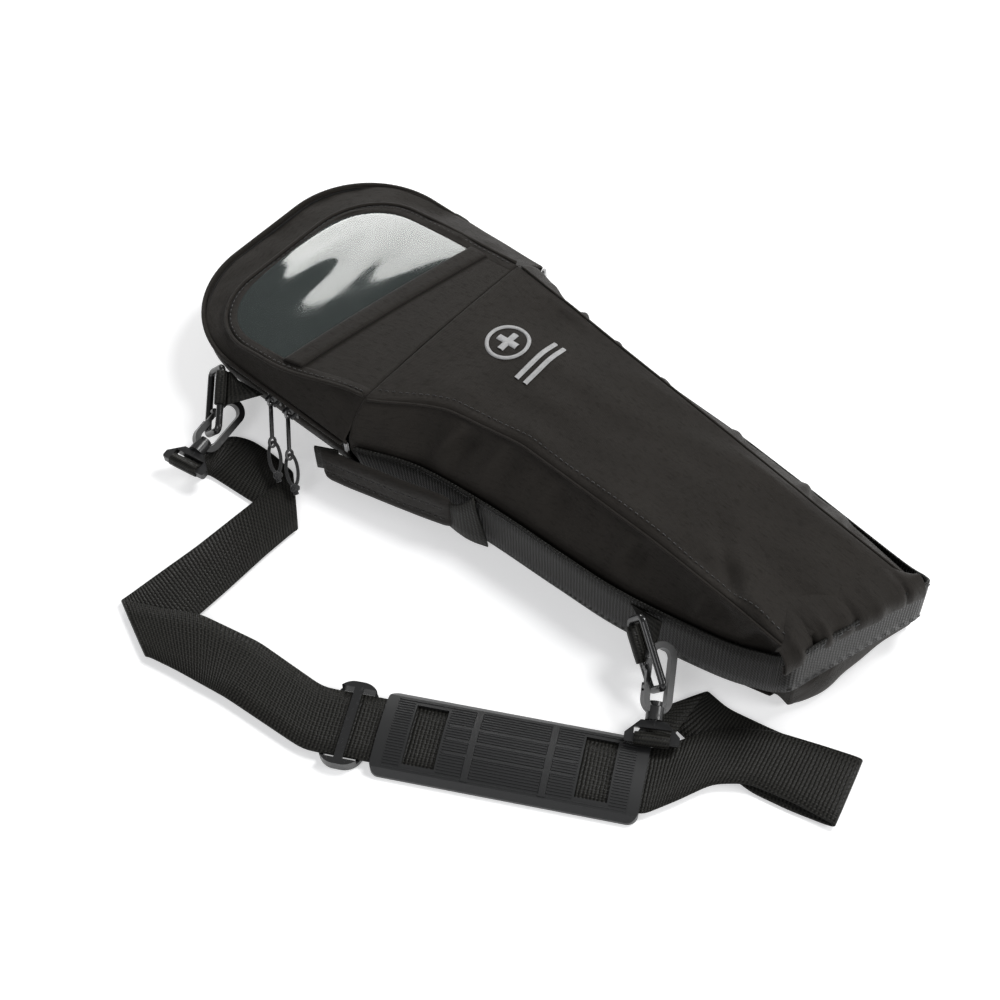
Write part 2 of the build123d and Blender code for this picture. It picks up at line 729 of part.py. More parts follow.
pad_end = Plane(
    origin=pad_place.from_local_coords((-pad_length / 2, 0, 0)), x_dir=pad_place.y_dir, z_dir=pad_place.x_dir)
pad_low = 1.0
pad_edge = 3.4
pad_shoulder = 7.6
pad_crown = 11.0

# Moulded pad, crowned across, with a tunnel for the strap and two windows that show it.
with BuildPart() as shoulder_pad:
    with BuildSketch(pad_end):
        with BuildLine():
            half = pad_width / 2
            Line((half, pad_low), (-half, pad_low))
            Line((-half, pad_low), (-half, pad_edge))
            Line((-half, pad_edge), (-half + 4, pad_shoulder))
            ThreePointArc((-half + 4, pad_shoulder), (0, pad_crown), (half - 4, pad_shoulder))
            Line((half - 4, pad_shoulder), (half, pad_edge))
            Line((half, pad_edge), (half, pad_low))
        make_face()
    extrude(amount=pad_length)
    fillet(edges().filter_by(lambda e: abs(e.length - (pad_edge - pad_low)) < 0.01), 7)
    with BuildSketch(pad_place.offset(level_high - gap)):
        Rectangle(pad_length + 10, web_width + 1.6)
    extrude(amount=web + 2 * gap, mode=Mode.SUBTRACT)
    with BuildSketch(pad_place.offset(level_high)):
        with Locations((-58, 0), (58, 0)):
            Rectangle(22, web_width - 4)
    extrude(amount=10, mode=Mode.SUBTRACT)

# ---------------------------------------------------------------- files
pieces = {
    "back_panel": back_panel, "front_panel": front_panel,
    "side_gusset_left": side_gusset_left, "side_gusset_right": side_gusset_right,
    "foot_panel": foot_panel, "foot_lining": foot_lining, "back_padding": back_padding,
    "head_wall": head_wall, "web_sling": web_sling, "hang_loop": hang_loop, "emblem": emblem,
    "zip_chain_bag": zip_chain_bag, "zip_chain_lid": zip_chain_lid, "zip_end_tacks": zip_end_tacks,
    "lid_border": lid_border, "lid_panel": lid_panel, "window": window, "window_hem": window_hem,
    "lid_piping": lid_piping,
    "zip_slider_a": zip_slider_a, "zip_slider_b": zip_slider_b,
    "zip_pull_a": zip_pull_a, "zip_pull_b": zip_pull_b,
    "pull_cord_a": pull_cord_a, "pull_cord_b": pull_cord_b,
    "handle_core": handle_core, "handle_grip": handle_grip, "handle_anchors": handle_anchors,
    "ring_upper": ring_upper, "ring_lower": ring_lower,
    "ring_tab_upper": ring_tab_upper, "ring_tab_lower": ring_tab_lower,
    "hook_upper": hook_upper, "hook_lower": hook_lower,
    "hook_gate_upper": hook_gate_upper, "hook_gate_lower": hook_gate_lower,
    "hook_base_upper": hook_base_upper, "hook_base_lower": hook_base_lower,
    "shoulder_strap": shoulder_strap, "tri_glide": tri_glide, "shoulder_pad": shoulder_pad,
}

os.makedirs("parts", exist_ok=True)
for name, piece in pieces.items():
    piece.part.label = name
    export_step(piece.part, f"parts/{name}.step")
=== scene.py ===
import json
import math

import bpy
import numpy as np
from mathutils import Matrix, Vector, noise
from mathutils.bvhtree import BVHTree


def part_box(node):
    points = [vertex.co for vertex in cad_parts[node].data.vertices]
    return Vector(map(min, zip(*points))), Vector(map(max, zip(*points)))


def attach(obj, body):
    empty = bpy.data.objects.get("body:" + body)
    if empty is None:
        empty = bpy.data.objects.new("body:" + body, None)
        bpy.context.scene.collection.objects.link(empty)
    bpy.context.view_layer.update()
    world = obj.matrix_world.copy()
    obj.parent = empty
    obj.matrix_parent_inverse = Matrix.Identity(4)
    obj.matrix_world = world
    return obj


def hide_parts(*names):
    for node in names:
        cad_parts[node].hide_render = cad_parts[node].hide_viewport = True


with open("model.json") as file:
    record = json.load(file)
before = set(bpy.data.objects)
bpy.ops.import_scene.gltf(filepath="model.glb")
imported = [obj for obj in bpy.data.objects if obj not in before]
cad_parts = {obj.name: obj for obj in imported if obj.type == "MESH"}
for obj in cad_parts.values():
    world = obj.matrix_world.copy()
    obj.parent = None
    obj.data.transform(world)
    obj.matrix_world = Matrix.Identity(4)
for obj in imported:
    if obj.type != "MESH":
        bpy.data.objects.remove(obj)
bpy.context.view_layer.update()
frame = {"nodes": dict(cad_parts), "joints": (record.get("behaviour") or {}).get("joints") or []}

# Soft shoulder bag for an oxygen cylinder, lying empty on its back. Metres, in the CAD frame.

MM = 0.001
joints = {joint["name"]: joint for joint in frame["joints"]}


# ---------------------------------------------------------------- curves and grids
def smooth_curve(points, count):
    """Points spread evenly along a Catmull-Rom curve through the given ones."""
    points = np.array(points, float)
    padded = np.vstack([2 * points[0] - points[1], points, 2 * points[-1] - points[-2]])
    fine = []
    for i in range(len(points) - 1):
        a, b, c, d = padded[i:i + 4]
        for t in np.linspace(0, 1, 24, endpoint=False):
            fine.append(0.5 * (2 * b + (c - a) * t + (2 * a - 5 * b + 4 * c - d) * t ** 2
                               + (3 * b - a - 3 * c + d) * t ** 3))
    fine.append(points[-1])
    return spread(np.array(fine), count)


def reach_along(points):
    """Distance along a polyline from its first point to each of its points."""
    return np.concatenate([[0], np.cumsum(np.linalg.norm(np.diff(points, axis=0), axis=1))])


def unit(vectors):
    return vectors / np.linalg.norm(vectors, axis=-1, keepdims=True)


def spread(points, count):
    """The same polyline with its points evenly spaced."""
    reach = reach_along(points)
    wanted = np.linspace(0, reach[-1], count)
    return np.stack([np.interp(wanted, reach, points[:, k]) for k in range(points.shape[1])], 1)


def blur(points, rounds):
    """Rounds off a polyline's corners, leaving its ends."""
    points = points.copy()
    loose = np.arange(1, len(points) - 1)
    for _ in range(rounds):
        points[loose] = 0.5 * points[loose] + 0.25 * (points[loose - 1] + points[loose + 1])
    return points


def eased(share):
    share = min(max(share, 0.0), 1.0)
    return share * share * (3 - 2 * share)


def ripple(point, size, seed=0.0):
    """Smooth noise between about -1 and 1 that varies over the given size."""
    return noise.noise(Vector(point) / size + Vector((seed, seed * 1.7, seed * 0.6)))


def mesh_object(name, verts, faces, uvs=None):
    """An object from points and faces; uvs holds one pair per point of each face, in face order."""
    mesh = bpy.data.meshes.new(name)
    mesh.from_pydata([tuple(v) for v in verts], [], [tuple(int(i) for i in f) for f in faces])
    if uvs is not None:
        layer = mesh.uv_layers.new(name="uv")
        layer.data.foreach_set("uv", np.asarray(uvs, np.float32).ravel())
    mesh.polygons.foreach_set("use_smooth", [True] * len(mesh.polygons))
    mesh.update()
    obj = bpy.data.objects.new(name, mesh)
    bpy.context.scene.collection.objects.link(obj)
    return obj


def grid_object(name, grid, across_closed=False, along_closed=False):
    """A sheet over a grid of points (along, across, 3) with UVs in metres."""
    rows, columns = grid.shape[:2]
    along, across = reach_along(grid.mean(1)), reach_along(grid[rows // 2])
    faces, uvs = [], []
    for i in range(rows - (0 if along_closed else 1)):
        for j in range(columns - (0 if across_closed else 1)):
            i2, j2 = (i + 1) % rows, (j + 1) % columns
            faces.append((i * columns + j, i2 * columns + j, i2 * columns + j2, i * columns + j2))
            a1 = along[i + 1] if i + 1 < rows else along[-1] + along[1]
            c1 = across[j + 1] if j + 1 < columns else across[-1] + across[1]
            uvs += [(across[j], along[i]), (across[j], a1), (c1, a1), (c1, along[i])]
    return mesh_object(name, grid.reshape(-1, 3), faces, uvs)


def thicken(obj, thickness, offset=-1.0):
    modifier = obj.modifiers.new("thickness", "SOLIDIFY")
    modifier.thickness = thickness
    modifier.offset = offset
    return obj


def soften(obj):
    """One level of subdivision."""
    smooth = obj.modifiers.new("smooth", "SUBSURF")
    smooth.levels = smooth.render_levels = 1
    return obj


def ribbon(name, left, right, thickness):
    """Flat webbing between two edge lines, with rounded selvedges and UVs across and along."""
    left, right = np.asarray(left, float), np.asarray(right, float)
    middle = (left + right) / 2
    along = np.gradient(middle, axis=0)
    across = right - left
    width = np.linalg.norm(across, axis=1, keepdims=True)
    across /= width
    up = np.cross(across, along)
    up /= np.maximum(np.linalg.norm(up, axis=1, keepdims=True), 1e-9)
    half = thickness / 2
    section = [(-0.5, 0.0), (-0.485, 0.8), (-0.25, 1), (0, 1), (0.25, 1), (0.485, 0.8),
               (0.5, 0.0), (0.485, -0.8), (0.25, -1), (0, -1), (-0.25, -1), (-0.485, -0.8)]
    grid = np.stack([middle + across * width * u + up * half * v for u, v in section], 1)
    reach = reach_along(middle)
    count = len(section)
    faces, uvs = [], []
    mean_width = float(width.mean())
    for i in range(len(middle) - 1):
        for j in range(count):
            j2 = (j + 1) % count
            faces.append((i * count + j, i * count + j2, (i + 1) * count + j2, (i + 1) * count + j))
            u1, u2 = section[j][0] * mean_width, section[j2][0] * mean_width
            uvs += [(u1, reach[i]), (u2, reach[i]), (u2, reach[i + 1]), (u1, reach[i + 1])]
    last = (len(middle) - 1) * count
    faces += [tuple(range(count))[::-1], tuple(range(last, last + count))]
    for row, reach_end in ((range(count)[::-1], 0.0), (range(count), reach[-1])):
        uvs += [(section[j][0] * mean_width, reach_end) for j in row]
    return mesh_object(name, grid.reshape(-1, 3), faces, uvs)


def tube(name, path, radius, sides=10, closed=False):
    """Round cord along a path."""
    path = np.asarray(path, float)
    along = np.gradient(path, axis=0)
    if closed:
        along = np.roll(path, -1, axis=0) - np.roll(path, 1, axis=0)
    along = unit(along)
    side = np.cross(along[0], (0.31, 0.22, 0.92))
    rings = []
    for centre, way in zip(path, along):
        side = unit(side - way * side.dot(way))
        other = np.cross(way, side)
        turn = np.linspace(0, 2 * math.pi, sides, endpoint=False)
        rings.append(centre + radius * (np.outer(np.cos(turn), side) + np.outer(np.sin(turn), other)))
    obj = grid_object(name, np.array(rings), across_closed=True, along_closed=closed)
    return obj if closed else cap_ends(obj, len(path), sides)


def cap_ends(obj, rows, columns):
    """Closes both ends of a tube of rings."""
    verts = [v.co.copy() for v in obj.data.vertices]
    faces = [tuple(p.vertices) for p in obj.data.polygons]
    uvs = [tuple(d.uv) for d in obj.data.uv_layers[0].data]
    faces += [tuple(range(columns)), tuple(range((rows - 1) * columns, rows * columns))[::-1]]
    uvs += [(0.0, 0.0)] * (2 * columns)
    name = obj.name
    old = obj.data
    bpy.data.objects.remove(obj)
    bpy.data.meshes.remove(old)
    return mesh_object(name, verts, faces, uvs)


def joined(name, objects):
    """One object from several, keeping their UVs."""
    bpy.ops.object.select_all(action="DESELECT")
    for obj in objects:
        obj.select_set(True)
    bpy.context.view_layer.objects.active = objects[0]
    bpy.ops.object.join()
    objects[0].name = name
    objects[0].data.name = name
    return objects[0]


def bead_faces(first):
    """Faces of a closed bead made of four rings of four points."""
    faces = []
    for o in (first, first + 4, first + 8):
        for c in range(4):
            c2 = (c + 1) % 4
            faces.append((o + c, o + c2, o + 4 + c2, o + 4 + c))
    last = first + 12
    return faces + [(first + 3, first + 2, first + 1, first), (last, last + 1, last + 2, last + 3)]


def stitches(name, path, ups, length=3.2 * MM, space=1.7 * MM, radius=0.32 * MM):
    """A row of thread stitches standing just proud of a surface."""
    path, ups = np.asarray(path, float), np.asarray(ups, float)
    count = max(int(reach_along(path)[-1] / (length + space)), 2)
    fine = spread(np.hstack([path, ups]), count * 2 + 1)
    verts, faces = [], []
    for k in range(count):
        start, end, up = fine[2 * k, :3], fine[2 * k + 1, :3], fine[2 * k, 3:]
        way = (end - start) / max(np.linalg.norm(end - start), 1e-9)
        start, end = start + way * 0.3 * MM, end + way * 0.3 * MM
        side = np.cross(way, up)
        base = len(verts)
        for t, lift in ((0, -0.3), (0.2, 0.5), (0.8, 0.5), (1, -0.3)):
            centre = start + (end - start) * t + up * lift * radius
            for a, b in ((1, 0), (0, 1), (-1, 0), (0, -1)):
                verts.append(centre + side * a * radius + up * b * radius)
        faces += bead_faces(base)
    return mesh_object(name, verts, faces)


# ---------------------------------------------------------------- materials
class Shader:
    """One node material, with short calls to add and join its nodes."""

    def __init__(self, name, roughness=0.8, coordinates="UV"):
        self.material = bpy.data.materials.new(name)
        self.material.use_nodes = True
        self.tree = self.material.node_tree
        self.surface = self.tree.nodes["Principled BSDF"]
        self.surface.inputs["Roughness"].default_value = roughness
        self.place = self.tree.nodes.new("ShaderNodeTexCoord").outputs[coordinates]

    def node(self, kind, settings=None, **inputs):
        made = self.tree.nodes.new(kind)
        for key, value in (settings or {}).items():
            setattr(made, key, value)
        for key, value in inputs.items():
            numbered = key[0] == "i" and key[1:].isdigit()
            self.join(value, made.inputs[int(key[1:]) if numbered else key])
        return made.outputs[0]

    def join(self, value, socket):
        if isinstance(value, bpy.types.NodeSocket):
            self.tree.links.new(value, socket)
        else:
            socket.default_value = value

    def math(self, operation, first, second=0.0):
        return self.node("ShaderNodeMath", {"operation": operation}, i0=first, i1=second)

    def parts(self):
        made = self.tree.nodes.new("ShaderNodeSeparateXYZ")
        self.tree.links.new(self.place, made.inputs[0])
        return made.outputs

    def worn_edge(self, low, high):
        """0 on flats, rising to 1 on sharp edges."""
        geometry = self.tree.nodes.new("ShaderNodeNewGeometry")
        return self.ramp(geometry.outputs["Pointiness"], low, high)

    def stripes(self, coordinate, period):
        """0 to 1 and back over each period."""
        wave = self.math("SINE", self.math("MULTIPLY", coordinate, 2 * math.pi / period))
        return self.node("ShaderNodeMath", {"operation": "MULTIPLY_ADD"}, i0=wave, i1=0.5, i2=0.5)

    def noise(self, size, detail=3.0, roughness=0.55, vector=None):
        return self.node("ShaderNodeTexNoise", None, Vector=vector or self.place, Scale=1 / size,
                         Detail=detail, Roughness=roughness)

    def blend(self, share, first, second):
        made = self.tree.nodes.new("ShaderNodeMix")
        made.data_type = "RGBA"
        self.join(share, made.inputs[0])
        self.join(first, made.inputs[6])
        self.join(second, made.inputs[7])
        return made.outputs[2]

    def ramp(self, value, low, high):
        """Stretches a value so that low becomes 0 and high becomes 1."""
        made = self.tree.nodes.new("ShaderNodeMapRange")
        self.join(value, made.inputs[0])
        made.inputs[1].default_value = low
        made.inputs[2].default_value = high
        return made.outputs[0]

    def bump(self, height, distance, strength=1.0, under=None):
        made = self.tree.nodes.new("ShaderNodeBump")
        made.inputs["Distance"].default_value = distance
        made.inputs["Strength"].default_value = strength
        self.tree.links.new(height, made.inputs["Height"])
        if under is not None:
            self.tree.links.new(under, made.inputs["Normal"])
        return made.outputs[0]

    def finish(self, colour, normal=None, roughness=None, **surface):
        self.join(colour, self.surface.inputs["Base Color"])
        if normal is not None:
            self.join(normal, self.surface.inputs["Normal"])
        if roughness is not None:
            self.join(roughness, self.surface.inputs["Roughness"])
        for key, value in surface.items():
            self.join(value, self.surface.inputs[key.replace("_", " ")])
        return self.material


def grey(level, warm=0.0):
    return (level * (1 + warm), level, level * (1 - warm), 1.0)


def woven_cloth(name, level, warm=0.06, coordinates="UV", thread=0.9 * MM):
    """Plain-weave polyester: fine threads with painted highlight on their raised crests, slubs, dusty high
    spots and broad changes of tone.
    """
    s = Shader(name, 0.86, coordinates)
    x, y, z = s.parts()
    warp = s.stripes(x, thread)
    weft = s.stripes(s.math("ADD", y, z), thread)
    weave = s.math("MAXIMUM", warp, weft)
    slub_place = s.node("ShaderNodeMapping", None, Vector=s.place, Scale=(1, 0.22, 1))
    slubs = s.ramp(s.noise(1.6 * MM, 2, vector=slub_place), 0.52, 0.75)
    broad = s.ramp(s.noise(45 * MM, 3), 0.3, 0.7)
    specks = s.ramp(s.noise(0.8 * MM, 1), 0.62, 0.74)
    dark, light = grey(level * 0.62, warm), grey(level * 1.5, warm)
    colour = s.blend(broad, grey(level * 0.85, warm), grey(level * 1.15, warm))
    # Painted highlight: the raised threads of the weave are coloured lighter than the gaps between them.
    colour = s.blend(s.math("MULTIPLY", weave, 0.45), colour, light)
    colour = s.blend(s.math("MULTIPLY", slubs, 0.5), colour, dark)
    colour = s.blend(s.math("MULTIPLY", specks, 0.5), colour, grey(level * 2.6, warm))
    normal = s.bump(weave, 0.25 * MM, 0.6)
    normal = s.bump(s.noise(7 * MM, 3), 1.2 * MM, 0.35, normal)
    return s.finish(colour, normal, s.ramp(slubs, -3.0, 2.0), Sheen_Weight=0.05, Sheen_Roughness=0.5,
                    Specular_IOR_Level=0.14)


def webbing(name, level=0.0085, rib=2.6 * MM):
    """Heavy ribbed webbing: cross ribs broken up by a fine twill, with a slight sheen; the colour has painted
    shade in the rib valleys and painted highlight on the crests.
    """
    s = Shader(name, 0.55)
    cross, run = s.parts()[:2]
    wobble = s.math("MULTIPLY", s.noise(9 * MM, 2), 1.2 * MM)
    ribs = s.stripes(s.math("ADD", run, wobble), rib)
    ends = s.stripes(cross, 1.55 * MM)
    twill = s.stripes(s.math("ADD", run, cross), 3.1 * MM)
    fine = s.math("MULTIPLY", s.math("MULTIPLY", ends, twill), 0.4)
    height = s.math("ADD", s.math("MULTIPLY", ribs, 0.6), fine)
    fuzz = s.ramp(s.noise(0.7 * MM, 1), 0.45, 0.75)
    broad = s.ramp(s.noise(30 * MM, 2), 0.3, 0.7)
    # Painted shade in the rib valleys and painted highlight on the rib crests: the colour follows the rib
    # height.
    painted_valley_shade = (level * 0.22, level * 0.22, level * 0.19, 1)
    crest = (level * 3.0, level * 2.9, level * 2.4, 1)
    colour = s.blend(height, painted_valley_shade, crest)
    colour = s.blend(s.math("MULTIPLY", broad, 0.25), colour, (level * 2.2, level * 2.1, level * 1.8, 1))
    colour = s.blend(s.math("MULTIPLY", fuzz, 0.25), colour, grey(level * 3.2, 0.03))
    normal = s.bump(height, 0.55 * MM, 0.9)
    return s.finish(colour, normal, s.ramp(height, -1.2, 2.6), Sheen_Weight=0.02, Specular_IOR_Level=0.16)


def moulded_plastic(name, level=0.008, roughness=0.28):
    """Moulded acetal: satin, a little mould texture, scuffs that are paler and duller."""
    s = Shader(name, roughness, "Object")
    grain = s.noise(0.5 * MM, 2)
    scuffs = s.ramp(s.noise(5 * MM, 5, 0.7), 0.56, 0.72)
    edge = s.worn_edge(0.52, 0.60)
    colour = s.blend(s.math("MULTIPLY", scuffs, 0.5), grey(level), grey(level * 2.4))
    colour = s.blend(s.math("MULTIPLY", edge, 0.5), colour, grey(level * 4))
    rough = s.math("ADD", s.math("MULTIPLY", scuffs, 0.22), roughness)
    return s.finish(colour, s.bump(grain, 0.06 * MM, 0.5), rough, Specular_IOR_Level=0.6)


def enamelled_metal(name, level, bright, roughness=0.3):
    """Enamelled metal with its paint worn through on edges."""
    s = Shader(name, roughness, "Object")
    rub = s.math("ADD", s.worn_edge(0.50, 0.58), s.ramp(s.noise(2.5 * MM, 4), 0.60, 0.72))
    rub = s.ramp(rub, 0.0, 1.2)
    colour = s.blend(rub, grey(level), grey(bright))
    normal = s.bump(s.noise(0.8 * MM, 2), 0.05 * MM, 0.5)
    return s.finish(colour, normal, Metallic=s.math("MULTIPLY", rub, 0.9))


def ribbed_rubber(name, level=0.010):
    """Grey-black rubber with a dusty bloom that gathers off the high spots."""
    s = Shader(name, 0.5)
    bloom = s.ramp(s.noise(14 * MM, 4), 0.35, 0.75)
    grain = s.noise(0.6 * MM, 2)
    edge = s.worn_edge(0.50, 0.56)
    clean = (level * 0.75, level * 0.8, level * 0.85, 1)
    dusty = (level * 1.25, level * 1.3, level * 1.35, 1)
    colour = s.blend(bloom, clean, dusty)
    colour = s.blend(s.math("MULTIPLY", edge, 0.55), colour, grey(level * 2.6))
    normal = s.bump(grain, 0.08 * MM, 0.6)
    return s.finish(colour, normal, s.ramp(bloom, -1.3, 2.6), Specular_IOR_Level=0.45)


def clear_vinyl(name):
    """Flexible clear sheet: glossy, faintly green, with a soft handling haze."""
    s = Shader(name, 0.07, "Object")
    haze = s.ramp(s.noise(22 * MM, 1), 0.4, 0.9)
    rough = s.math("ADD", s.math("MULTIPLY", haze, 0.06), 0.06)
    return s.finish((0.22, 0.26, 0.25, 1), None, rough, Transmission_Weight=0.85, IOR=1.42,
                    Specular_IOR_Level=0.6)


def satin_thread(name, level=0.55, pitch=0.55 * MM):
    """Satin stitching: fine parallel threads with a sheen, the grooves between the threads painted darker as
    shade.
    """
    s = Shader(name, 0.45, "Object")
    x, y = s.parts()[:2]
    threads = s.stripes(s.math("ADD", x, s.math("MULTIPLY", y, 0.35)), pitch)
    broad = s.ramp(s.noise(4 * MM, 2), 0.3, 0.7)
    # Painted shade: the grooves between the threads are coloured darker than their tops.
    colour = s.blend(threads, grey(level * 0.45), grey(level))
    colour = s.blend(s.math("MULTIPLY", broad, 0.35), colour, grey(level * 1.15))
    return s.finish(colour, s.bump(threads, 0.25 * MM, 0.8), Sheen_Weight=0.3)


def braided_cord(name, level=0.01):
    """Braid: two sets of strands that cross, painted dark between the strands as shade and light on their
    tops as highlight.
    """
    s = Shader(name, 0.7)
    x, y = s.parts()[:2]
    one_way = s.stripes(s.math("ADD", y, x), 1.1 * MM)
    other_way = s.stripes(s.math("SUBTRACT", y, x), 1.1 * MM)
    strands = s.math("MULTIPLY", one_way, other_way)
    # Painted shade between the strands and painted highlight on their tops: the colour follows the strand
    # height.
    colour = s.blend(strands, grey(level * 0.5), grey(level * 2.6))
    return s.finish(colour, s.bump(strands, 0.3 * MM, 0.8), Sheen_Weight=0.3)


shell_cloth = woven_cloth("shell_cloth", 0.013, 0.17)
lining_cloth = woven_cloth("lining_cloth", 0.008, 0.0, "Object")
grip_cloth = woven_cloth("grip_cloth", 0.012, 0.15)
strap_webbing = webbing("strap_webbing")
# The sling's webbing is the strap's webbing painted darker, as painted shade on the upright band round the
# sides.
side_webbing_painted_shade = webbing("side_webbing_painted_shade", 0.0048)
vinyl = clear_vinyl("window_vinyl")
hook_plastic = moulded_plastic("hook_plastic")
ring_plastic = moulded_plastic("ring_plastic", 0.012, 0.22)
glide_plastic = moulded_plastic("glide_plastic", 0.008, 0.24)
slider_enamel = enamelled_metal("slider_enamel", 0.012, 0.2)
pull_enamel = enamelled_metal("pull_enamel", 0.016, 0.4)
coil_nylon = moulded_plastic("coil_nylon", 0.009, 0.35)
tape_cloth = woven_cloth("tape_cloth", 0.008, 0.0)
pad_rubber = ribbed_rubber("pad_rubber")
emblem_thread = satin_thread("emblem_thread")
seam_thread = satin_thread("seam_thread", 0.022)
tack_thread = satin_thread("tack_thread", 0.6)
cord_braid = braided_cord("cord_braid")


def dress(obj, material, body, replaces=()):
    obj.data.materials.clear()
    obj.data.materials.append(material)
    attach(obj, body)
    if replaces:
        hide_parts(*replaces)
    return obj


# ---------------------------------------------------------------- reading the frame
trees = {}


def surface_of(node):
    if node not in trees:
        mesh = frame["nodes"][node].data
        trees[node] = BVHTree.FromPolygons(
            [v.co.copy() for v in mesh.vertices], [tuple(p.vertices) for p in mesh.polygons])
    return trees[node]


def wall_y(node, x, z, side):
    """Outer y of a side wall at a place; side is -1 on the strap side."""
    far = 0.4 * side
    for nudge in (0, 0.5, 1, 2, 3, 5, 8):
        hit = surface_of(node).ray_cast(Vector((x - nudge * MM, far, z)), Vector((0, -side, 0)))[0]
        if hit is not None:
            return hit.y
    raise ValueError(f"{node} has no wall at x {x:.3f}, z {z:.3f}")


def on_axis(joint, x):
    """The point of a joint's axis at a given x."""
    middle, way = Vector(joints[joint]["pos_m"]), Vector(joints[joint]["axis"])
    return middle + way * ((x - middle.x) / way.x)


def sewn(name, path, body_name, up=(0.0, 0.0, 1.0)):
    """A row of stitches along a path, on a surface that faces up."""
    dress(stitches(name, path, np.tile(up, (len(path), 1))), seam_thread, body_name)


fabric = 2.0 * MM
left_low, left_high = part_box("side_gusset_left")
right_low, right_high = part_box("side_gusset_right")
head_low, head_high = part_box("head_wall")
lid_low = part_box("lid_border")[0]
hinge_x = float(joints["lid_fold"]["pos_m"][0])
top_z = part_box("front_panel")[1].z
seam_z = left_high.z

# ---------------------------------------------------------------- main body of the bag
body_rows = 110
side_steps = 22
top_steps = 44
floor_steps = 16


def body_section(s):
    """Closed outline of the bag's body at a share s of its length, from the strap side's floor seam."""
    start = hinge_x - 0.5 * MM
    left_x = start + s * (left_high.x - 1.0 * MM - start)
    right_x = start + s * (right_high.x - 1.0 * MM - start)
    seen_left, seen_right = max(left_x, left_low.x + 0.6 * MM), max(right_x, right_low.x + 0.6 * MM)
    heights = np.linspace(left_low.z + 0.3 * MM, seam_z - 0.3 * MM, side_steps)
    left = np.array([(left_x, wall_y("side_gusset_left", seen_left, z, -1), z) for z in heights])
    right = np.array([(right_x, wall_y("side_gusset_right", seen_right, z, 1), z) for z in heights])[::-1]
    left, right = blur(left, 6), blur(right, 6)
    near_lid = eased(1 - (left_x - hinge_x) / (42 * MM))
    left[:, 1] -= 6.5 * MM * near_lid * np.clip((left[:, 2] - 0.048) / 0.028, 0, 1)
    belly = np.sin(math.pi * np.clip((left[:, 2] - 0.046) / 0.033, 0, 1))
    left[:, 1] -= 6.5 * MM * near_lid * belly
    belly = np.sin(math.pi * np.clip((right[:, 2] - 0.046) / 0.033, 0, 1))
    right[:, 1] += 5.0 * MM * near_lid * belly
    right[:, 1] -= 5.0 * MM * near_lid * np.clip(1 - np.abs(right[:, 2] - 0.040) / 0.030, 0, 1)
    left[:, 2] += 1.6 * MM * near_lid * np.clip((left[:, 2] - 0.048) / 0.028, 0, 1)
    right[:, 2] += 1.6 * MM * near_lid * np.clip((right[:, 2] - 0.048) / 0.028, 0, 1)
    across = np.linspace(0, 1, top_steps + 2)[1:-1, None]
    top = left[-1] * (1 - across) + right[0] * across
    top[:, 2] = top_z + 2.6 * MM * np.sin(math.pi * across[:, 0]) ** 0.7 - 0.5 * MM
    across = np.linspace(0, 1, floor_steps + 2)[1:-1, None]
    floor = right[-1] * (1 - across) + left[0] * across
    floor[:, 2] = 0.4 * MM
    return np.vstack([left, top, right, floor])


# Rings that close the foot: share of the last section's size, and distance past it in millimetres.
cap_rings = ((0.998, 0.6), (0.99, 1.4), (0.93, 1.8), (0.80, 1.8), (0.6, 1.8), (0.36, 1.8), (0.12, 1.8))


def body_grid():
    sections = np.array([body_section(s) for s in np.linspace(0, 1, body_rows)])
    # Rounded, tucked-in end at the foot.
    end = sections[-1]
    centre = end.mean(0)
    outward = unit(np.array([1.0, -0.32, 0.0]))
    caps = []
    for share, push in cap_rings:
        ring = centre + (end - centre) * share + outward * push * MM
        low_part = np.clip((0.040 - ring[:, 2]) / 0.010, 0, 1) * np.clip(ring[:, 2] / 0.002, 0, 1)
        swell = 3.5 + 8.0 * np.exp(-((ring[:, 1] + 0.030) / 0.034) ** 2)
        swell *= np.array([1 + 0.3 * ripple(p, 0.025, 17) for p in ring])
        ring += outward * (low_part * swell * MM)[:, None]
        caps.append(ring)
    return np.vstack([sections, np.array(caps)])


def crease(value, centre, width):
    return math.exp(-((value - centre) / width) ** 2)


# Pleats down the side walls: place along the bag in metres, and depth in millimetres.
wall_pleats = ((-0.085, 1.8), (-0.048, 4.2), (-0.012, 2.2), (0.035, 1.8), (0.105, 2.4), (0.170, 3.4),
               (0.205, 2.6))
slack_from = 0.050


def top_fold(p, s):
    """Height in millimetres of the front panel's folds at a point, s of the way to the foot."""
    away = min(s * 7, 1.0)
    foot = max(0.0, (s - 0.70) / 0.30)
    lift = 4.6 * ripple(p, 0.085, 3) + 2.6 * ripple((p[0] * 0.7, p[1] * 1.5, p[2]), 0.036, 5)
    lift += 2.2 * crease(p[1] - 0.10 * p[0], 0.022, 0.016) * away * (1 - foot)
    folds = 6.0 * foot * ripple((p[0] * 0.55, p[1] * 2.0, 0.0), 0.036, 8)
    slant = p[0] + 1.15 * (p[1] + 0.050)
    tuck = -7.0 * foot * crease(slant, 0.186, 0.007) + 5.0 * foot * crease(slant, 0.203, 0.012)
    return lift * away + folds + tuck


def wall_fold(p):
    """How far a side wall stands out and up at a point, in millimetres: sag, pleats and small creases."""
    height = (p[2] - slack_from) / (seam_z - slack_from)
    slack = math.sin(math.pi * min(max(height, 0.0), 1.0))
    sag = -3.4 * slack * (0.65 + 0.35 * ripple((p[0], 0.0, 0.0), 0.06, 11))
    pleats = 0.0
    for centre, depth in wall_pleats:
        lean = centre + 0.35 * (p[2] - 0.064)
        pleats += depth * (crease(p[0], lean, 0.006) - 0.8 * crease(p[0], lean + 0.011, 0.008))
    pleats *= 1.5
    small = 2.6 * ripple((p[0], p[1], p[2] * 0.6), 0.020, 14)
    return sag + pleats * slack + small * slack, 0.5 * pleats * slack


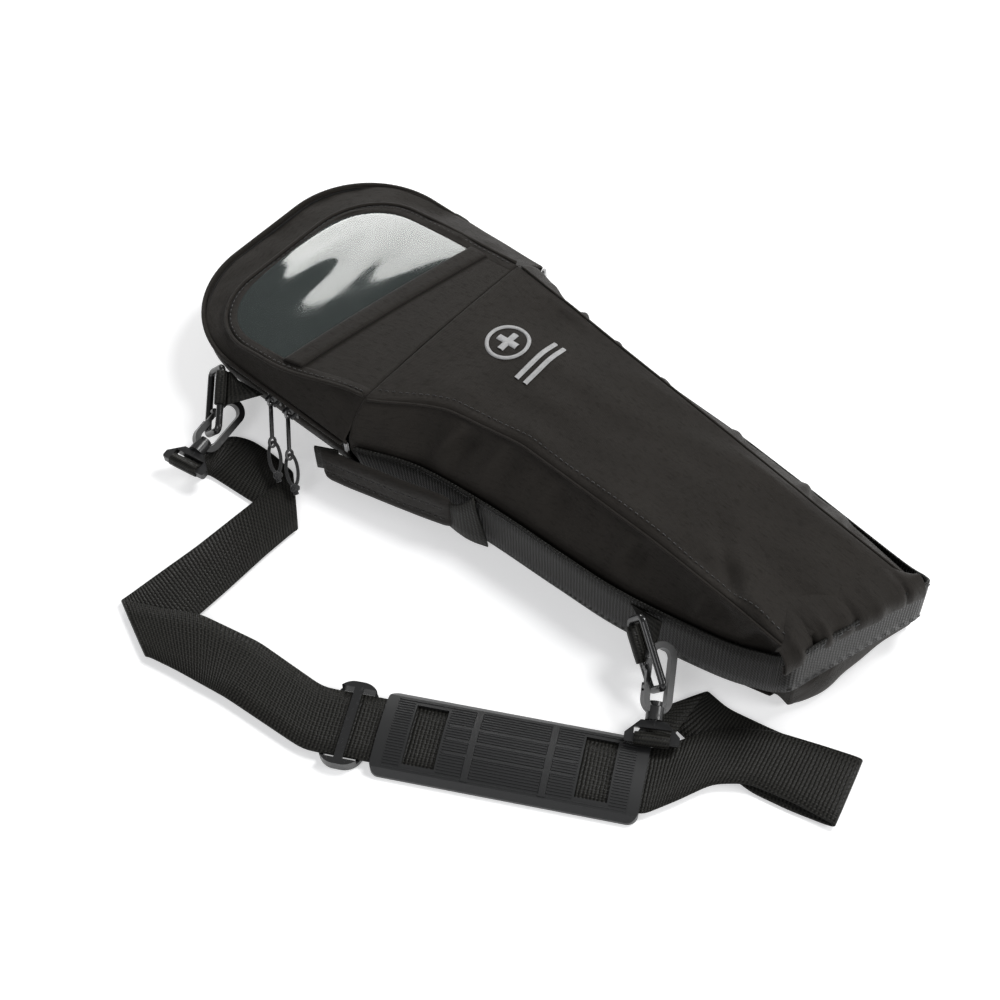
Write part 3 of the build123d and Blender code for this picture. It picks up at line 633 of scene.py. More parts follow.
def body_wrinkles(grid):
    """Folds the cloth; the seams and the sewn floor edge stay where they are."""
    left_seam, right_seam = side_steps - 1, side_steps + top_steps
    for i in range(grid.shape[0]):
        s = min(i / (body_rows - 1), 1.0)
        for j in range(right_seam + side_steps):
            p = grid[i, j]
            seam_room = min(abs(j - left_seam), abs(j - right_seam)) / 4
            if left_seam < j < right_seam:
                hold = min(seam_room, 1.0) * min(s * 14, 1.0)
                grid[i, j, 2] += top_fold(p, s) * hold * MM
            else:
                side = -1 if j <= left_seam else 1
                out, up = wall_fold(p)
                grid[i, j, 1] += side * out * min(seam_room * 1.5, 1.0) * MM
                grid[i, j, 2] += up * MM
    return grid


def build_body():
    grid = body_wrinkles(body_grid())
    body = grid_object("bag_body", grid, across_closed=True)
    thicken(body, 1.6 * MM, -1.0)
    soften(body)
    dress(body, shell_cloth, "bag",
          ("front_panel", "side_gusset_left", "side_gusset_right", "foot_panel"))
    left_seam, right_seam = side_steps - 1, side_steps + top_steps
    for name, column, lean in (("seam_roll_left", left_seam, -1), ("seam_roll_right", right_seam, 1)):
        path = grid[1:body_rows, column].copy()
        path[:, 2] += 0.8 * MM
        path[:, 1] += lean * 0.2 * MM
        dress(tube(name, blur(path, 3), 1.0 * MM, 8), shell_cloth, "bag")
    inner = grid[1:body_rows, left_seam + 3].copy()
    inner[:, 2] += 0.5 * MM
    sewn("front_seam_stitches", inner, "bag")
    return grid


body = build_body()


# Places where the foot hem is gathered: share of its length, width, and rise in millimetres.
hem_tucks = ((0.10, 0.03, 4.0), (0.22, 0.02, -6.0), (0.31, 0.03, 5.0), (0.50, 0.025, -4.0), (0.66, 0.04, 3.0),
             (0.86, 0.02, -5.0))
# The hem's section, from the front panel over its edge and back under: outwards and upwards, in millimetres.
hem_profile = ((-30, -2.6), (-22, -0.2), (-10, 1.8), (-1, 2.2), (5, 0.4), (8, -3.2), (9, -8.0), (8.6, -12.5),
               (7.2, -13.8), (5.6, -12.0), (5.2, -7.0))


def build_foot_hem():
    """The front panel's end: a tucked hem that hangs over the webbing round the foot."""
    start, end = np.array((236.5, -67.5)), np.array((274.0, 40.0))
    length = np.linalg.norm(end - start)
    run = (end - start) / length
    out = np.array((run[1], -run[0]))
    columns = 90
    grid = np.zeros((len(hem_profile), columns, 3))
    for j, t in enumerate(np.linspace(0, 1, columns)):
        ends = min(t, 1 - t)
        tucks = sum(rise * crease(t, place, width) for place, width, rise in hem_tucks)
        loose = 2.2 * ripple((t * 0.13, 0.0, 0.0), 0.022, 71)
        centre = start + run * length * t
        for i, (away, up) in enumerate(hem_profile):
            if away < 0:
                away *= 0.15 + 0.85 * eased(ends / 0.22)
            reach = min(max((away + 26) / 34, 0.0), 1.0)
            drop = 5.0 * (1 - min(ends / 0.14, 1.0)) * reach + 3.0 * crease(t, 0.30, 0.16) * reach
            away -= (3.5 * crease(t, 0.28, 0.16)) * reach
            flare = (loose + 0.5 * tucks) * reach
            x, y = centre + out * (away * (0.92 if away > 0 else 1) + flare)
            grid[i, j] = (x, y, top_z / MM + up + tucks * 0.55 * reach - drop)
    grid *= MM
    fine = np.array([smooth_curve(grid[:, j], 34) for j in range(columns)]).transpose(1, 0, 2)
    hem = thicken(grid_object("foot_hem_cloth", fine), 1.4 * MM, 0)
    dress(soften(hem), shell_cloth, "bag")


build_foot_hem()


# ---------------------------------------------------------------- head of the bag
head_radius = 78 * MM
head_tip = head_low.x
head_half = head_high.y
outline_steps = (34, 26, 34)
far_side_share = 0.955


def head_path(inset, end_x, half=head_half, tip=head_tip, radius=head_radius, middle=0.0):
    """Rounded end of the head seen from above: strap side first, then the tip, then the far side."""
    half, tip = half - inset, tip + inset
    radius = max(radius - inset, 1 * MM)
    straight, arc, across = outline_steps
    points = [(x, middle - half) for x in np.linspace(end_x, tip + radius, straight)]
    for turn in np.linspace(0, math.pi / 2, arc)[1:]:
        y = middle - half + radius - radius * math.cos(turn)
        points.append((tip + radius - radius * math.sin(turn), y))
    for y in np.linspace(middle - half + radius, middle + half - radius, across)[1:]:
        points.append((tip, y))
    for turn in np.linspace(0, math.pi / 2, arc)[1:]:
        y = middle + half - radius + radius * math.sin(turn)
        points.append((tip + radius - radius * math.cos(turn), y))
    points += [(x, middle + half) for x in np.linspace(tip + radius, end_x, straight)[1:]]
    points = np.array(points)
    if middle == 0.0:
        points[points[:, 1] > 0, 1] *= far_side_share
    return points


def ring_at(inset, z, end_x=None, **shape):
    outline = head_path(inset, hinge_x - 0.6 * MM if end_x is None else end_x, **shape)
    return np.column_stack([outline, np.full(len(outline), z)])


# The head wall's section from the floor to the zip: inset and height, in millimetres.
wall_profile = ((14.5, 0.3), (13.2, 2.0), (9.6, 9.0), (6.0, 17.0), (2.6, 25.0), (0.5, 32.0), (0.2, 37.0),
                (1.6, 38.4))


def build_head_wall():
    rings = [ring_at(inset * MM, z * MM) for inset, z in wall_profile]
    grid = np.array(rings).transpose(1, 0, 2)
    fine = np.array([smooth_curve(row, 26) for row in grid])
    for i in range(fine.shape[0]):
        for j in range(2, fine.shape[1] - 3):
            p = fine[i, j]
            amount = 1.3 * ripple(p, 0.035, 21) + 0.9 * ripple((p[0], p[1], p[2] * 0.35), 0.013, 22)
            fine[i, j, :2] *= 1 + amount * MM / 0.11 * math.sin(math.pi * j / (fine.shape[1] - 1))
    wall = thicken(grid_object("head_side_wall", fine), fabric, 1.0)
    dress(wall, shell_cloth, "bag", ("head_wall",))


build_head_wall()

zip_z = (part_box("zip_slider_a")[0].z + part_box("zip_slider_a")[1].z) / 2 + 0.4 * MM
zip_end = hinge_x - 4 * MM
tooth_pitch = 1.7 * MM
# A tooth's rings, from the gap outwards: height, reach and half width, in millimetres.
tooth_rings = ((-1.5, 0.2, 0.52), (-0.5, 1.05, 0.58), (0.9, 0.9, 0.5), (1.6, -0.2, 0.42))


def build_zip():
    """Coil teeth on both sides of the gap, and their tapes."""
    for name, side in (("bag", -1), ("lid", 1)):
        base = ring_at(2.0 * MM, zip_z + side * 2.1 * MM, zip_end)
        path = spread(base, int(reach_along(base)[-1] / tooth_pitch))
        along = unit(np.gradient(path, axis=0))
        out = np.cross(along, (0, 0, -1.0))
        outward = out * np.sign((out[0] * (0, -1, 0)).sum())
        verts, faces = [], []
        for centre, way, away in zip(path, along, outward):
            first = len(verts)
            for z, push, half in tooth_rings:
                z *= side
                for a, b in ((-half, 0.0), (0, 0.5), (half, 0.0), (0, -0.7)):
                    verts.append(centre + way * a * MM + away * (push + b) * MM + np.array((0, 0, z * MM)))
            faces += bead_faces(first)
        teeth = mesh_object(f"zip_teeth_{name}", verts, faces)
        dress(teeth, coil_nylon, name, (f"zip_chain_{name}",))
        heights = np.linspace(zip_z + side * 1.4 * MM, zip_z + side * 5.6 * MM, 6)
        tape = np.array([ring_at(2.6 * MM, z, zip_end) for z in heights]).transpose(1, 0, 2)
        dress(thicken(grid_object(f"zip_tape_{name}", tape), 0.8 * MM, 0), tape_cloth, name)


build_zip()

# ---------------------------------------------------------------- lid
lid_slope = math.radians(9.0)
lid_reach = 168 * MM
lid_left = -104 * MM
lid_right = 82 * MM
lid_middle, lid_half = (lid_left + lid_right) / 2, (lid_right - lid_left) / 2
lid_corner = 56 * MM
border = 9 * MM
window_end = -52 * MM
lid_end = hinge_x - 0.6 * MM


def lid_place(along, y, height=0.0):
    """A point on the lid's sloping top: along is measured from the fold towards the tip (negative)."""
    narrowing = eased((along + 84 * MM) / (84 * MM))
    y *= 1 - (0.145 if y < 0 else 0.03) * narrowing
    return np.array((lid_end + along * math.cos(lid_slope) - height * math.sin(lid_slope), y,
                     top_z + along * math.sin(lid_slope) + height * math.cos(lid_slope)))


def lid_ring(inset, height=0.0, end=0.0):
    outline = head_path(inset, end, half=lid_half, tip=-lid_reach, radius=lid_corner, middle=lid_middle)
    return np.array([lid_place(a, y, height) for a, y in outline])


def build_lid_border():
    outer = []
    for share in (0.0, 0.12, 0.26):
        ring = ring_at(0.3 * MM, 46 * MM)
        crest = top_z + (ring[:, 0] - lid_end) * math.tan(lid_slope)
        ring[:, 2] += share * (crest - 47 * MM)
        outer.append(ring)
    shoulder = lid_ring(-0.6 * MM, -2.4 * MM)
    top = [lid_ring(1.2 * MM, 0.0), lid_ring(5.0 * MM, 0.9 * MM), lid_ring(border + 1 * MM, 0.2 * MM),
           lid_ring(border + 2.6 * MM, -1.6 * MM)]
    grid = np.array(outer + [shoulder] + top).transpose(1, 0, 2)
    fine = np.array([smooth_curve(row, 40) for row in grid])
    columns = fine.shape[1]
    for i in range(fine.shape[0]):
        calm = min(min(i, fine.shape[0] - 1 - i) / 8, 1.0)
        for j in range(3, columns - 5):
            p = fine[i, j]
            share = math.sin(math.pi * j / (columns - 1))
            drape = 4.6 * ripple((p[0] * 0.9, p[1] * 0.9, p[2] * 0.3), 0.050, 31) + 1.8 * ripple(p, 0.020, 33)
            fine[i, j, 2] += drape * share * calm * MM
            fine[i, j, :2] *= 1 - 0.018 * share * calm * (0.5 + ripple((p[0], p[1], 0), 0.07, 35))
    cloth = thicken(grid_object("lid_border_cloth", fine), fabric, 1.0)
    soften(cloth)
    dress(cloth, shell_cloth, "lid", ("lid_border",))


def hem_skew(y):
    """The window's lower edge runs a little askew."""
    return 0.20 * (y + 11 * MM)


def build_lid_panel():
    rows, columns = 26, 60
    grid = np.zeros((rows, columns, 3))
    low_y, high_y = lid_left + 2 * MM, lid_right - 2 * MM
    for i in range(rows):
        for j, y in enumerate(np.linspace(low_y, high_y, columns)):
            share = j / (columns - 1)
            a = -0.1 * MM + i / (rows - 1) * (window_end + hem_skew(y) - 1.9 * MM)
            rise = (2.6 * math.sin(math.pi * share) ** 0.7 - 0.5) * MM
            point = lid_place(a, y, rise)
            point[2] += 0.9 * MM * ripple(point, 0.05, 3) * math.sin(math.pi * share)
            grid[i, j] = point
    panel = thicken(grid_object("lid_panel_cloth", grid[::-1]), fabric, -1.0)
    dress(panel, shell_cloth, "lid", ("lid_panel",))


def window_height(share_x, share_y):
    return 3.4 * MM * (math.sin(math.pi * share_x) * math.sin(math.pi * share_y)) ** 0.6


def build_window():
    """Clear sheet that bulges a little, inside the border."""
    inset = border - 1.5 * MM
    ring = head_path(inset, window_end, half=lid_half, tip=-lid_reach, radius=lid_corner, middle=lid_middle)
    split = int(np.argmin(np.abs(ring[:, 1] - lid_middle)))
    near, far = ring[:split + 1], ring[split:]
    rows, columns = 44, 56
    near, far = spread(near, rows), spread(far[::-1], rows)
    grid = np.zeros((rows, columns, 3))
    for i in range(rows):
        for j, share in enumerate(np.linspace(0, 1, columns)):
            a = near[i, 0] * (1 - share) + far[i, 0] * share
            y = near[i, 1] * (1 - share) + far[i, 1] * share
            a += hem_skew(y) * (1 - (a - window_end) / (-lid_reach + inset - window_end))
            rise = window_height(i / (rows - 1), share)
            wave = 2.2 * MM * ripple((a * 1.6, y * 0.5, 0), 0.045, 41) * math.sin(math.pi * share)
            wave *= math.sin(math.pi * min(i / (rows - 1) * 1.3, 1.0)) ** 0.5 if i else 0.0
            grid[i, j] = lid_place(a, y, rise + wave - 0.6 * MM)
    sheet = thicken(grid_object("window_sheet", grid), 0.5 * MM, 0)
    dress(sheet, vinyl, "lid", ("window",))


def build_hem():
    """Folded strip over the window's lower edge, with two rows of stitches."""
    rows, columns = 9, 60
    grid = np.zeros((rows, columns, 3))
    low_y, high_y = lid_left + border - 1 * MM, lid_right - border + 1 * MM
    profile = ((-8.2, 0.0), (-7.8, 1.2), (-6, 1.6), (-3, 1.7), (0, 1.7), (3, 1.7), (6, 1.6), (7.6, 1.3),
               (8.0, 0.2))
    for i, (a, up) in enumerate(profile):
        for j, share in enumerate(np.linspace(0, 1, columns)):
            crown = 2.0 * math.sin(math.pi * share) ** 0.8
            y = low_y + (high_y - low_y) * share
            grid[i, j] = lid_place(window_end + a * MM + hem_skew(y), y, (crown + up - 0.2) * MM)
    strip = thicken(grid_object("window_hem_cloth", grid[::-1]), 1.0 * MM, -1.0)
    dress(strip, shell_cloth, "lid", ("window_hem",))
    for k, row in enumerate((2, 6)):
        path = grid[row, 1:-1].copy()
        path[:, 2] += 0.35 * MM
        sewn(f"hem_stitches_{k}", path, "lid")


def build_piping():
    cord = ring_at(-1.3 * MM, lid_low.z + 1.6 * MM, hinge_x - 3.6 * MM)
    dress(tube("lid_piping_cord", cord, 1.7 * MM, 10), shell_cloth, "lid", ("lid_piping",))
    rim = lid_ring(0.6 * MM, 0.6 * MM, -2 * MM)
    dress(tube("lid_rim_piping", rim, 1.5 * MM, 10), shell_cloth, "lid")
    sewn("rim_stitches", lid_ring(4.2 * MM, 1.3 * MM, -4 * MM), "lid")


build_lid_border()
build_lid_panel()
build_window()
build_hem()
build_piping()


# ---------------------------------------------------------------- underside and inside
def build_back():
    """Flat back sheet: head outline, then the body's floor edges, with a corded rim."""
    outline = list(map(tuple, head_path(14.2 * MM, hinge_x)))
    right_edge = [tuple(body[i, side_steps * 2 + top_steps - 1, :2]) for i in range(2, body_rows, 3)]
    left_edge = [tuple(body[i, 0, :2]) for i in range(2, body_rows, 3)][::-1]
    rim = np.array(left_edge + outline + right_edge)
    rim3 = np.column_stack([rim, np.full(len(rim), 0.9 * MM)])
    centre = rim.mean(0)
    rings = []
    for share in (1.0, 0.97, 0.9, 0.75, 0.5, 0.25, 0.03):
        ring = centre + (rim - centre) * share
        rings.append(np.column_stack([ring, np.full(len(ring), (0.9 if share > 0.98 else 0.3) * MM)]))
    sheet = grid_object("back_sheet", np.array(rings), across_closed=True)
    dress(thicken(sheet, 1.0 * MM, 0), shell_cloth, "bag", ("back_panel",))
    dress(tube("floor_piping", spread(np.vstack([rim3, rim3[:1]]), 420)[:-1], 1.1 * MM, 8, closed=True),
          shell_cloth, "bag")


build_back()


# ---------------------------------------------------------------- webbing sewn round the bag
def mm(points):
    return np.array(points, float) * MM


sling_width = 48 * MM
# Lower edge of the wide webbing, from the strap side's head end round the foot and back, in millimetres.
sling_edge = ((-106, -110.8, 1), (-60, -93.4, 1), (0, -86.4, 1), (64, -84.4, 1), (120, -81.4, 1),
              (191, -68.4, 1), (226, -62.6, 12), (237, -64.0, 24), (245.5, -60.0, 30), (252.5, -39, 30),
              (263, -7, 30), (273, 23, 30), (278.5, 42.0, 28), (272, 51.5, 20), (252, 60.5, 8),
              (191, 71.5, 1), (100, 80.5, 1), (0, 86.5, 1), (-60, 90.0, 1), (-104, 102.5, 1))


def build_sling():
    """Wide webbing on edge round the sides and the foot, drawn in closer than the CAD band at the foot."""
    lower = mm(sling_edge)
    upper = lower + np.array((0, 0, sling_width))
    lower[:2, 1] += mm((10, 2))
    lower[-2:, 1] -= mm((2, 9))
    upper[-8:, 2] -= mm((2, 4, 6, 6, 6, 7, 8, 12))
    path = smooth_curve(np.hstack([lower, upper]), 300)
    lower, upper = path[:, :3], path[:, 3:]
    for row in upper:
        row[2] = min(row[2], top_z - 1 * MM) + 0.6 * MM * ripple(row, 0.06, 51)
    band = ribbon("side_sling_webbing", lower, upper, 2.0 * MM)
    # Painted shade: this band's webbing is coloured darker than the same webbing on the strap.
    dress(band, side_webbing_painted_shade, "bag", ("web_sling",))
    out = unit(lower * (1, 1, 0))
    for k, share in enumerate((0.07, 0.93)):
        line = lower * (1 - share) + upper * share + out * 1.3 * MM
        dress(stitches(f"sling_stitches_{k}", line, out), seam_thread, "bag")


build_sling()


def fill_stations(stations, step=3.0):
    """Edge pairs spread finely along a band, keeping the sharp turns at its folds."""
    stations = mm([(*left, *right) for left, right in stations])
    rows = [stations[0]]
    for a, b in zip(stations, stations[1:]):
        length = np.linalg.norm((b - a)[:3]) / MM
        count = max(int(length / step), 2)
        for t in np.linspace(0, 1, count + 1)[1:]:
            rows.append(a * (1 - t) + b * t)
    return np.array(rows)


# The pad lies flat. Its middle and its turn are rounded, so that the strap's rows always fall the same.
pad_slide_way = joints["pad_slide"]["axis"]
pad_turn = math.radians(round(math.degrees(math.atan2(pad_slide_way[1], pad_slide_way[0])), 1))
pad_way = np.array((math.cos(pad_turn), math.sin(pad_turn), 0))
pad_side = np.array((-pad_way[1], pad_way[0], 0))
pad_middle = np.array([round((a + b) / 2 / MM, 2) for a, b in zip(*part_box("shoulder_pad"))])
pad_middle[2] = 0


def on_pad(x, y, z):
    """A point x along and y across the pad from its middle, in millimetres."""
    return pad_middle + pad_way * x + pad_side * y + np.array((0, 0, z))


def hook_loop(place, turn, start, end):
    """Stations of the strap's end, narrowed and wrapped round the bar of a hook's base."""
    half_width, bar_radius = 12, 4.2
    middle = Vector(joints[f"hook_{place}_swivel"]["pos_m"]) / MM
    way = Vector(joints[f"hook_{place}_swivel"]["axis"]).normalized()
    side = Vector((0, 0, turn)).cross(way).normalized()
    up = way.cross(side)
    if up.z < 0:
        up = -up
    rows = []
    for angle in np.linspace(math.radians(start), math.radians(end), 14):
        centre = middle + way * bar_radius * math.cos(angle) + up * bar_radius * math.sin(angle)
        rows.append((tuple(centre + side * half_width), tuple(centre - side * half_width)))
    return rows


def build_strap():
    """The shoulder strap: one long band, folded three times, with a narrowed loop at each end."""
    upper = hook_loop("upper", 1, -60, 262)
    upper += [((-220, -172, 6.0), (-199, -184, 6.0)), ((-212, -140, 3.2), (-199, -178, 3.2)),
              ((-197, -133, 2.0), (-197, -176, 2.0))]
    run = [((-175, -132, 2.1), (-156, -173, 2.1)), ((-152, -134, 2.0), (-112, -168, 2.0)),
           ((-151, -134.6, 3.3), (-111, -168.8, 3.3)),
           ((-152, -136, 4.2), (-112, -170, 4.2)), ((-154, -172, 4.2), (-113, -200, 4.2)),
           ((-157, -226, 4.0), (-112.5, -240, 4.2)), ((-161, -262, 3.9), (-113, -270, 4.1)),
           ((-164, -291, 3.8), (-116, -311, 3.8)), ((-164, -292.5, 4.9), (-116, -312.0, 4.9)),
           ((-163, -291, 6.0), (-115, -310.5, 6.0)),
           ((-134, -277, 6.2), (-90, -305, 6.2)), ((-112, -264, 6.4), (-72, -302, 6.4)),
           ((-64, -253, 6.0), (-50, -298, 6.0))]
    for x in (-136, -126, -111, -97, -60, 0, 60, 93):
        run.append((tuple(on_pad(x, 24, 5.8)), tuple(on_pad(x, -24, 5.8))))
    run += [((216, -106, 6.3), (231, -160, 6.3)), ((232, -92, 7.0), (241, -137, 6.6)),
            ((250, -80, 7.6), (259, -122, 7.0)), ((280, -68, 7.0), (290, -114, 6.8)),
            ((306, -58, 5.8), (319, -109, 5.8)), ((307.4, -57.8, 3.9), (320, -109, 3.9)),
            ((305, -59, 2.1), (317, -110, 2.1)), ((280, -68, 2.0), (290, -118, 2.0)),
            ((248, -77, 2.0), (262, -124, 2.0)), ((214, -84, 2.0), (216, -122, 2.0)),
            ((196, -82, 2.0), (180, -117, 2.0)), ((195, -82.4, 3.2), (179, -116.6, 3.2)),
            ((196, -86, 4.0), (178, -117, 4.0)), ((199, -117, 4.4), (178, -126, 4.4)),
            ((200, -129, 6.2), (179, -137, 6.2))]
    path = blur(fill_stations(upper + run + hook_loop("lower", -1, -98, -420)), 5)
    band = ribbon("strap_band", path[:, :3], path[:, 3:], 1.7 * MM)
    dress(band, strap_webbing, "strap", ("shoulder_strap",))


build_strap()


# ---------------------------------------------------------------- web tabs on the rings
def build_tab(place, root_x):
    """Narrow webbing from its fold on the bag, round a bar of the ring and back."""
    half_width, bar_radius, clear = 13, 3.9, 7
    way = Vector(joints[f"ring_{place}_turn"]["axis"]).normalized()
    bar = Vector(joints[f"ring_{place}_turn"]["pos_m"]) / MM
    root = on_axis("strap_swing", root_x) / MM
    out = root - bar
    out = (out - way * out.dot(way)).normalized()
    up = way.cross(out)
    fold_way = Vector(joints["strap_swing"]["axis"]).normalized()
    if fold_way.dot(way) < 0:
        fold_way = -fold_way
    rows = []

    def station(centre, across):
        rows.append((tuple(centre + across * half_width), tuple(centre - across * half_width)))

    for angle in np.linspace(math.radians(-20), math.radians(-340), 18):
        station(bar + (out * math.cos(angle) + up * math.sin(angle)) * bar_radius, way)
    station(bar + out * clear, way)
    station(root, fold_way)
    path = blur(fill_stations(rows, 1.5), 3)
    tab = ribbon(f"ring_tab_{place}_webbing", path[:, :3], path[:, 3:], 1.8 * MM)
    dress(tab, strap_webbing, "strap", (f"ring_tab_{place}",))


build_tab("upper", joints["strap_swing"]["pos_m"][0])
build_tab("lower", 139 * MM)


# ---------------------------------------------------------------- carry handle
handle_a = on_axis("handle_swing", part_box("handle_anchors")[0][0])
handle_b = on_axis("handle_swing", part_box("handle_grip")[1][0] + 7 * MM)
handle_run = handle_b - handle_a
handle_out = handle_run.cross(Vector((0, 0, 1))).normalized()
handle_down = handle_run.normalized().cross(handle_out).normalized()
if handle_down.z > 0:
    handle_down = -handle_down
grip_middle = 17
grip_end = 0.045
quilt_line = 0.36


def build_grip():
    """Padded grip that hangs from the hinge line, with two sewn channels along it."""
    rows, columns = 70, 36
    grid = np.zeros((rows, columns, 3))
    for i, t in enumerate(np.linspace(grip_end, 1 - grip_end, rows)):
        end = min(min(t - grip_end, 1 - grip_end - t) / 0.05, 1.0)
        swell = math.sqrt(max(end, 0.0))
        half_height, half_thick = 15.6 + 1.2 * swell, 1.6 + 2.6 * swell
        for j in range(columns):
            turn = 2 * math.pi * j / columns
            v = math.copysign(abs(math.cos(turn)) ** 0.55, math.cos(turn))
            w = math.copysign(abs(math.sin(turn)) ** 0.8, math.sin(turn))
            groove = 1 - 0.40 * crease(v, quilt_line, 0.07) - 0.40 * crease(v, -quilt_line, 0.07)
            point = handle_a + handle_run * t + handle_down * (grip_middle + half_height * v) * MM
            point += handle_out * half_thick * groove * w * MM
            point += handle_out * (1.1 * math.sin(math.pi * t) + 0.5 * ripple(point, 0.02, 61)) * MM
            grid[i, j] = point
    grip = cap_ends(grid_object("handle_grip_cloth", grid, across_closed=True), rows, columns)
    dress(grip, grip_cloth, "handle", ("handle_grip", "handle_core"))
    for k, v in enumerate((-quilt_line, quilt_line)):
        line = []
        for t in np.linspace(0.07, 0.93, 60):
            point = handle_a + handle_run * t + handle_down * (grip_middle + 16.8 * v) * MM
            line.append(point + handle_out * (3.2 + 1.1 * math.sin(math.pi * t)) * MM)
        sewn(f"grip_stitches_{k}", line, "handle", handle_out)


def build_handle_ends():
    """Webbing from the grip to the bag: pressed flat at the head end, folded over at the foot end."""
    head_end = []
    for along, inward in ((0, 0.3), (9, 2.3), (18, 4.0)):
        x, y, z = (handle_a + handle_run.normalized() * along * MM - handle_out * inward * MM) / MM
        head_end.append(((x, y, z - 1), (x, y, z - 26.5)))
    foot_end = [((-27, -98, 38), (-27, -98, 10)), ((-19, -96.5, 40), (-17, -97.5, 7)),
                ((-13, -93, 46), (-7, -95.5, 4)), ((-9, -90, 52), (4, -91, 3))]
    for k, stations in enumerate((head_end, foot_end)):
        path = blur(fill_stations(stations, 2.0), 4)
        end = ribbon(f"handle_end_{k}", path[:, 3:], path[:, :3], 2.4 * MM)
        dress(end, strap_webbing, "bag", ("handle_anchors",) if k == 0 else ())


build_grip()
build_handle_ends()


# ---------------------------------------------------------------- emblem, drawn with raised satin stitching
def grid_faces(rows, columns, closed=False):
    """Quads of a grid of points; a closed one joins its last column to its first."""
    faces = []
    for i in range(rows - 1):
        for j in range(columns if closed else columns - 1):
            first, last = i * columns + j, i * columns + (j + 1) % columns
            faces.append((first, last, last + columns, first + columns))
    return faces


def satin(name, ground, pairs):
    """A raised band of stitching on the ground, between pairs of edge points."""
    profile = ((0, 0.2), (0.12, 0.9), (0.5, 1.15), (0.88, 0.9), (1, 0.2))
    verts = []
    for a, b in pairs:
        for t, lift in profile:
            x, y = a[0] * (1 - t) + b[0] * t, a[1] * (1 - t) + b[1] * t
            hit = ground.ray_cast(Vector((x, y, 0.2)), Vector((0, 0, -1)))[0]
            verts.append((x, y, (hit.z if hit is not None else top_z) + lift * MM))
    return mesh_object(name, verts, grid_faces(len(pairs), len(profile)))


def build_emblem():
    """A ring round a plus sign over two bars."""
    low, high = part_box("emblem")
    ring_x, ring_y = low.x + 17 * MM, (low.y + high.y) / 2
    cloth = [tuple(p) for p in body.reshape(-1, 3)]
    ground = BVHTree.FromPolygons(cloth, grid_faces(*body.shape[:2], closed=True))

    def across(x, half_width, half_length, steps):
        """Edge points of a bar across the bag, in millimetres from the ring's middle."""
        at = [ring_y + t * MM for t in np.linspace(-half_length, half_length, steps)]
        return [((ring_x + (x - half_width) * MM, y), (ring_x + (x + half_width) * MM, y)) for y in at]

    ring = []
    for turn in np.linspace(0, 2 * math.pi, 97):
        c, s = math.cos(turn) * MM, math.sin(turn) * MM
        ring.append(((ring_x + 14 * c, ring_y + 14 * s), (ring_x + 17 * c, ring_y + 17 * s)))
    arm_half = 2.7 * MM
    arm = [((x, ring_y - arm_half), (x, ring_y + arm_half))
           for x in np.linspace(ring_x - 9 * MM, ring_x + 9 * MM, 24)]
    bands = (ring, arm, across(0, 2.7, 9, 24), across(27, 2, 22, 50), across(35, 2, 22, 50))
    parts = [satin(f"satin_{k}", ground, pairs) for k, pairs in enumerate(bands)]
    dress(joined("emblem_embroidery", parts), emblem_thread, "bag", ("emblem",))


build_emblem()


# ---------------------------------------------------------------- cords and hang loop
def build_cord(letter):
    """A loop from the pull's eye to a knot with two short tails."""
    eye = np.array(joints[f"cord_{letter}_swing"]["pos_m"], float)
    way = unit(np.array((0.755, -0.573, -0.32)))
    across = np.array((0.882, 0.285, 0.376))
    across = unit(across - way * across.dot(way))
    turns = np.linspace(0, 2 * math.pi, 49)[:-1]
    centre = eye + way * 12 * MM
    path = np.array([centre + way * 12 * MM * math.cos(t) + across * 5.2 * MM * math.sin(t) for t in turns])
    loop = tube(f"cord_{letter}_loop", path, 1.3 * MM, 10, closed=True)
    knot_at = eye + way * 26.2 * MM
    up = np.cross(way, across)
    knot = []
    for k, (tilt, spin) in enumerate(((0.35, 0.0), (-0.5, 2.1), (0.15, 4.2))):
        a = way * math.cos(tilt) + up * math.sin(tilt)
        b = unit(np.cross(a, up * math.cos(spin) + across * math.sin(spin)))
        c = np.cross(a, b)
        ring = []
        for t in np.linspace(0, 2 * math.pi, 25)[:-1]:
            round_turn = (b * math.cos(t) + c * math.sin(t)) * 2.2 * MM
            ring.append(knot_at + round_turn + a * 0.9 * math.sin(2 * t) * MM)
        knot.append(tube(f"knot_{letter}_{k}", ring, 1.35 * MM, 8, closed=True))
    tails = []
    for side in (-1, 1):
        path = np.array([knot_at + way * s * MM + across * side * 1.5 * MM * (s / 6) for s in (1, 3, 5.0)])
        tails.append(tube(f"tail_{letter}_{side}", path, 1.2 * MM, 8))
    whole = joined(f"cord_{letter}_braid", [loop] + knot + tails)
    dress(whole, cord_braid, f"cord_{letter}", (f"pull_cord_{letter}",))


build_cord("a")
build_cord("b")


def build_hang_loop():
    """Small loop of webbing on the far rim of the head."""
    low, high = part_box("hang_loop")
    middle = (low + high) / 2
    left = []
    for angle in np.linspace(math.radians(-160), math.radians(160), 30):
        y = middle.y + 4.4 * MM * math.cos(angle)
        z = middle.z + 5.4 * MM * math.sin(angle)
        left.append((low.x, y, z))
    right = np.array(left) + (high.x - low.x, 0, 0)
    loop = ribbon("hang_loop_webbing", left, right, 1.2 * MM)
    dress(loop, strap_webbing, "bag", ("hang_loop",))


build_hang_loop()


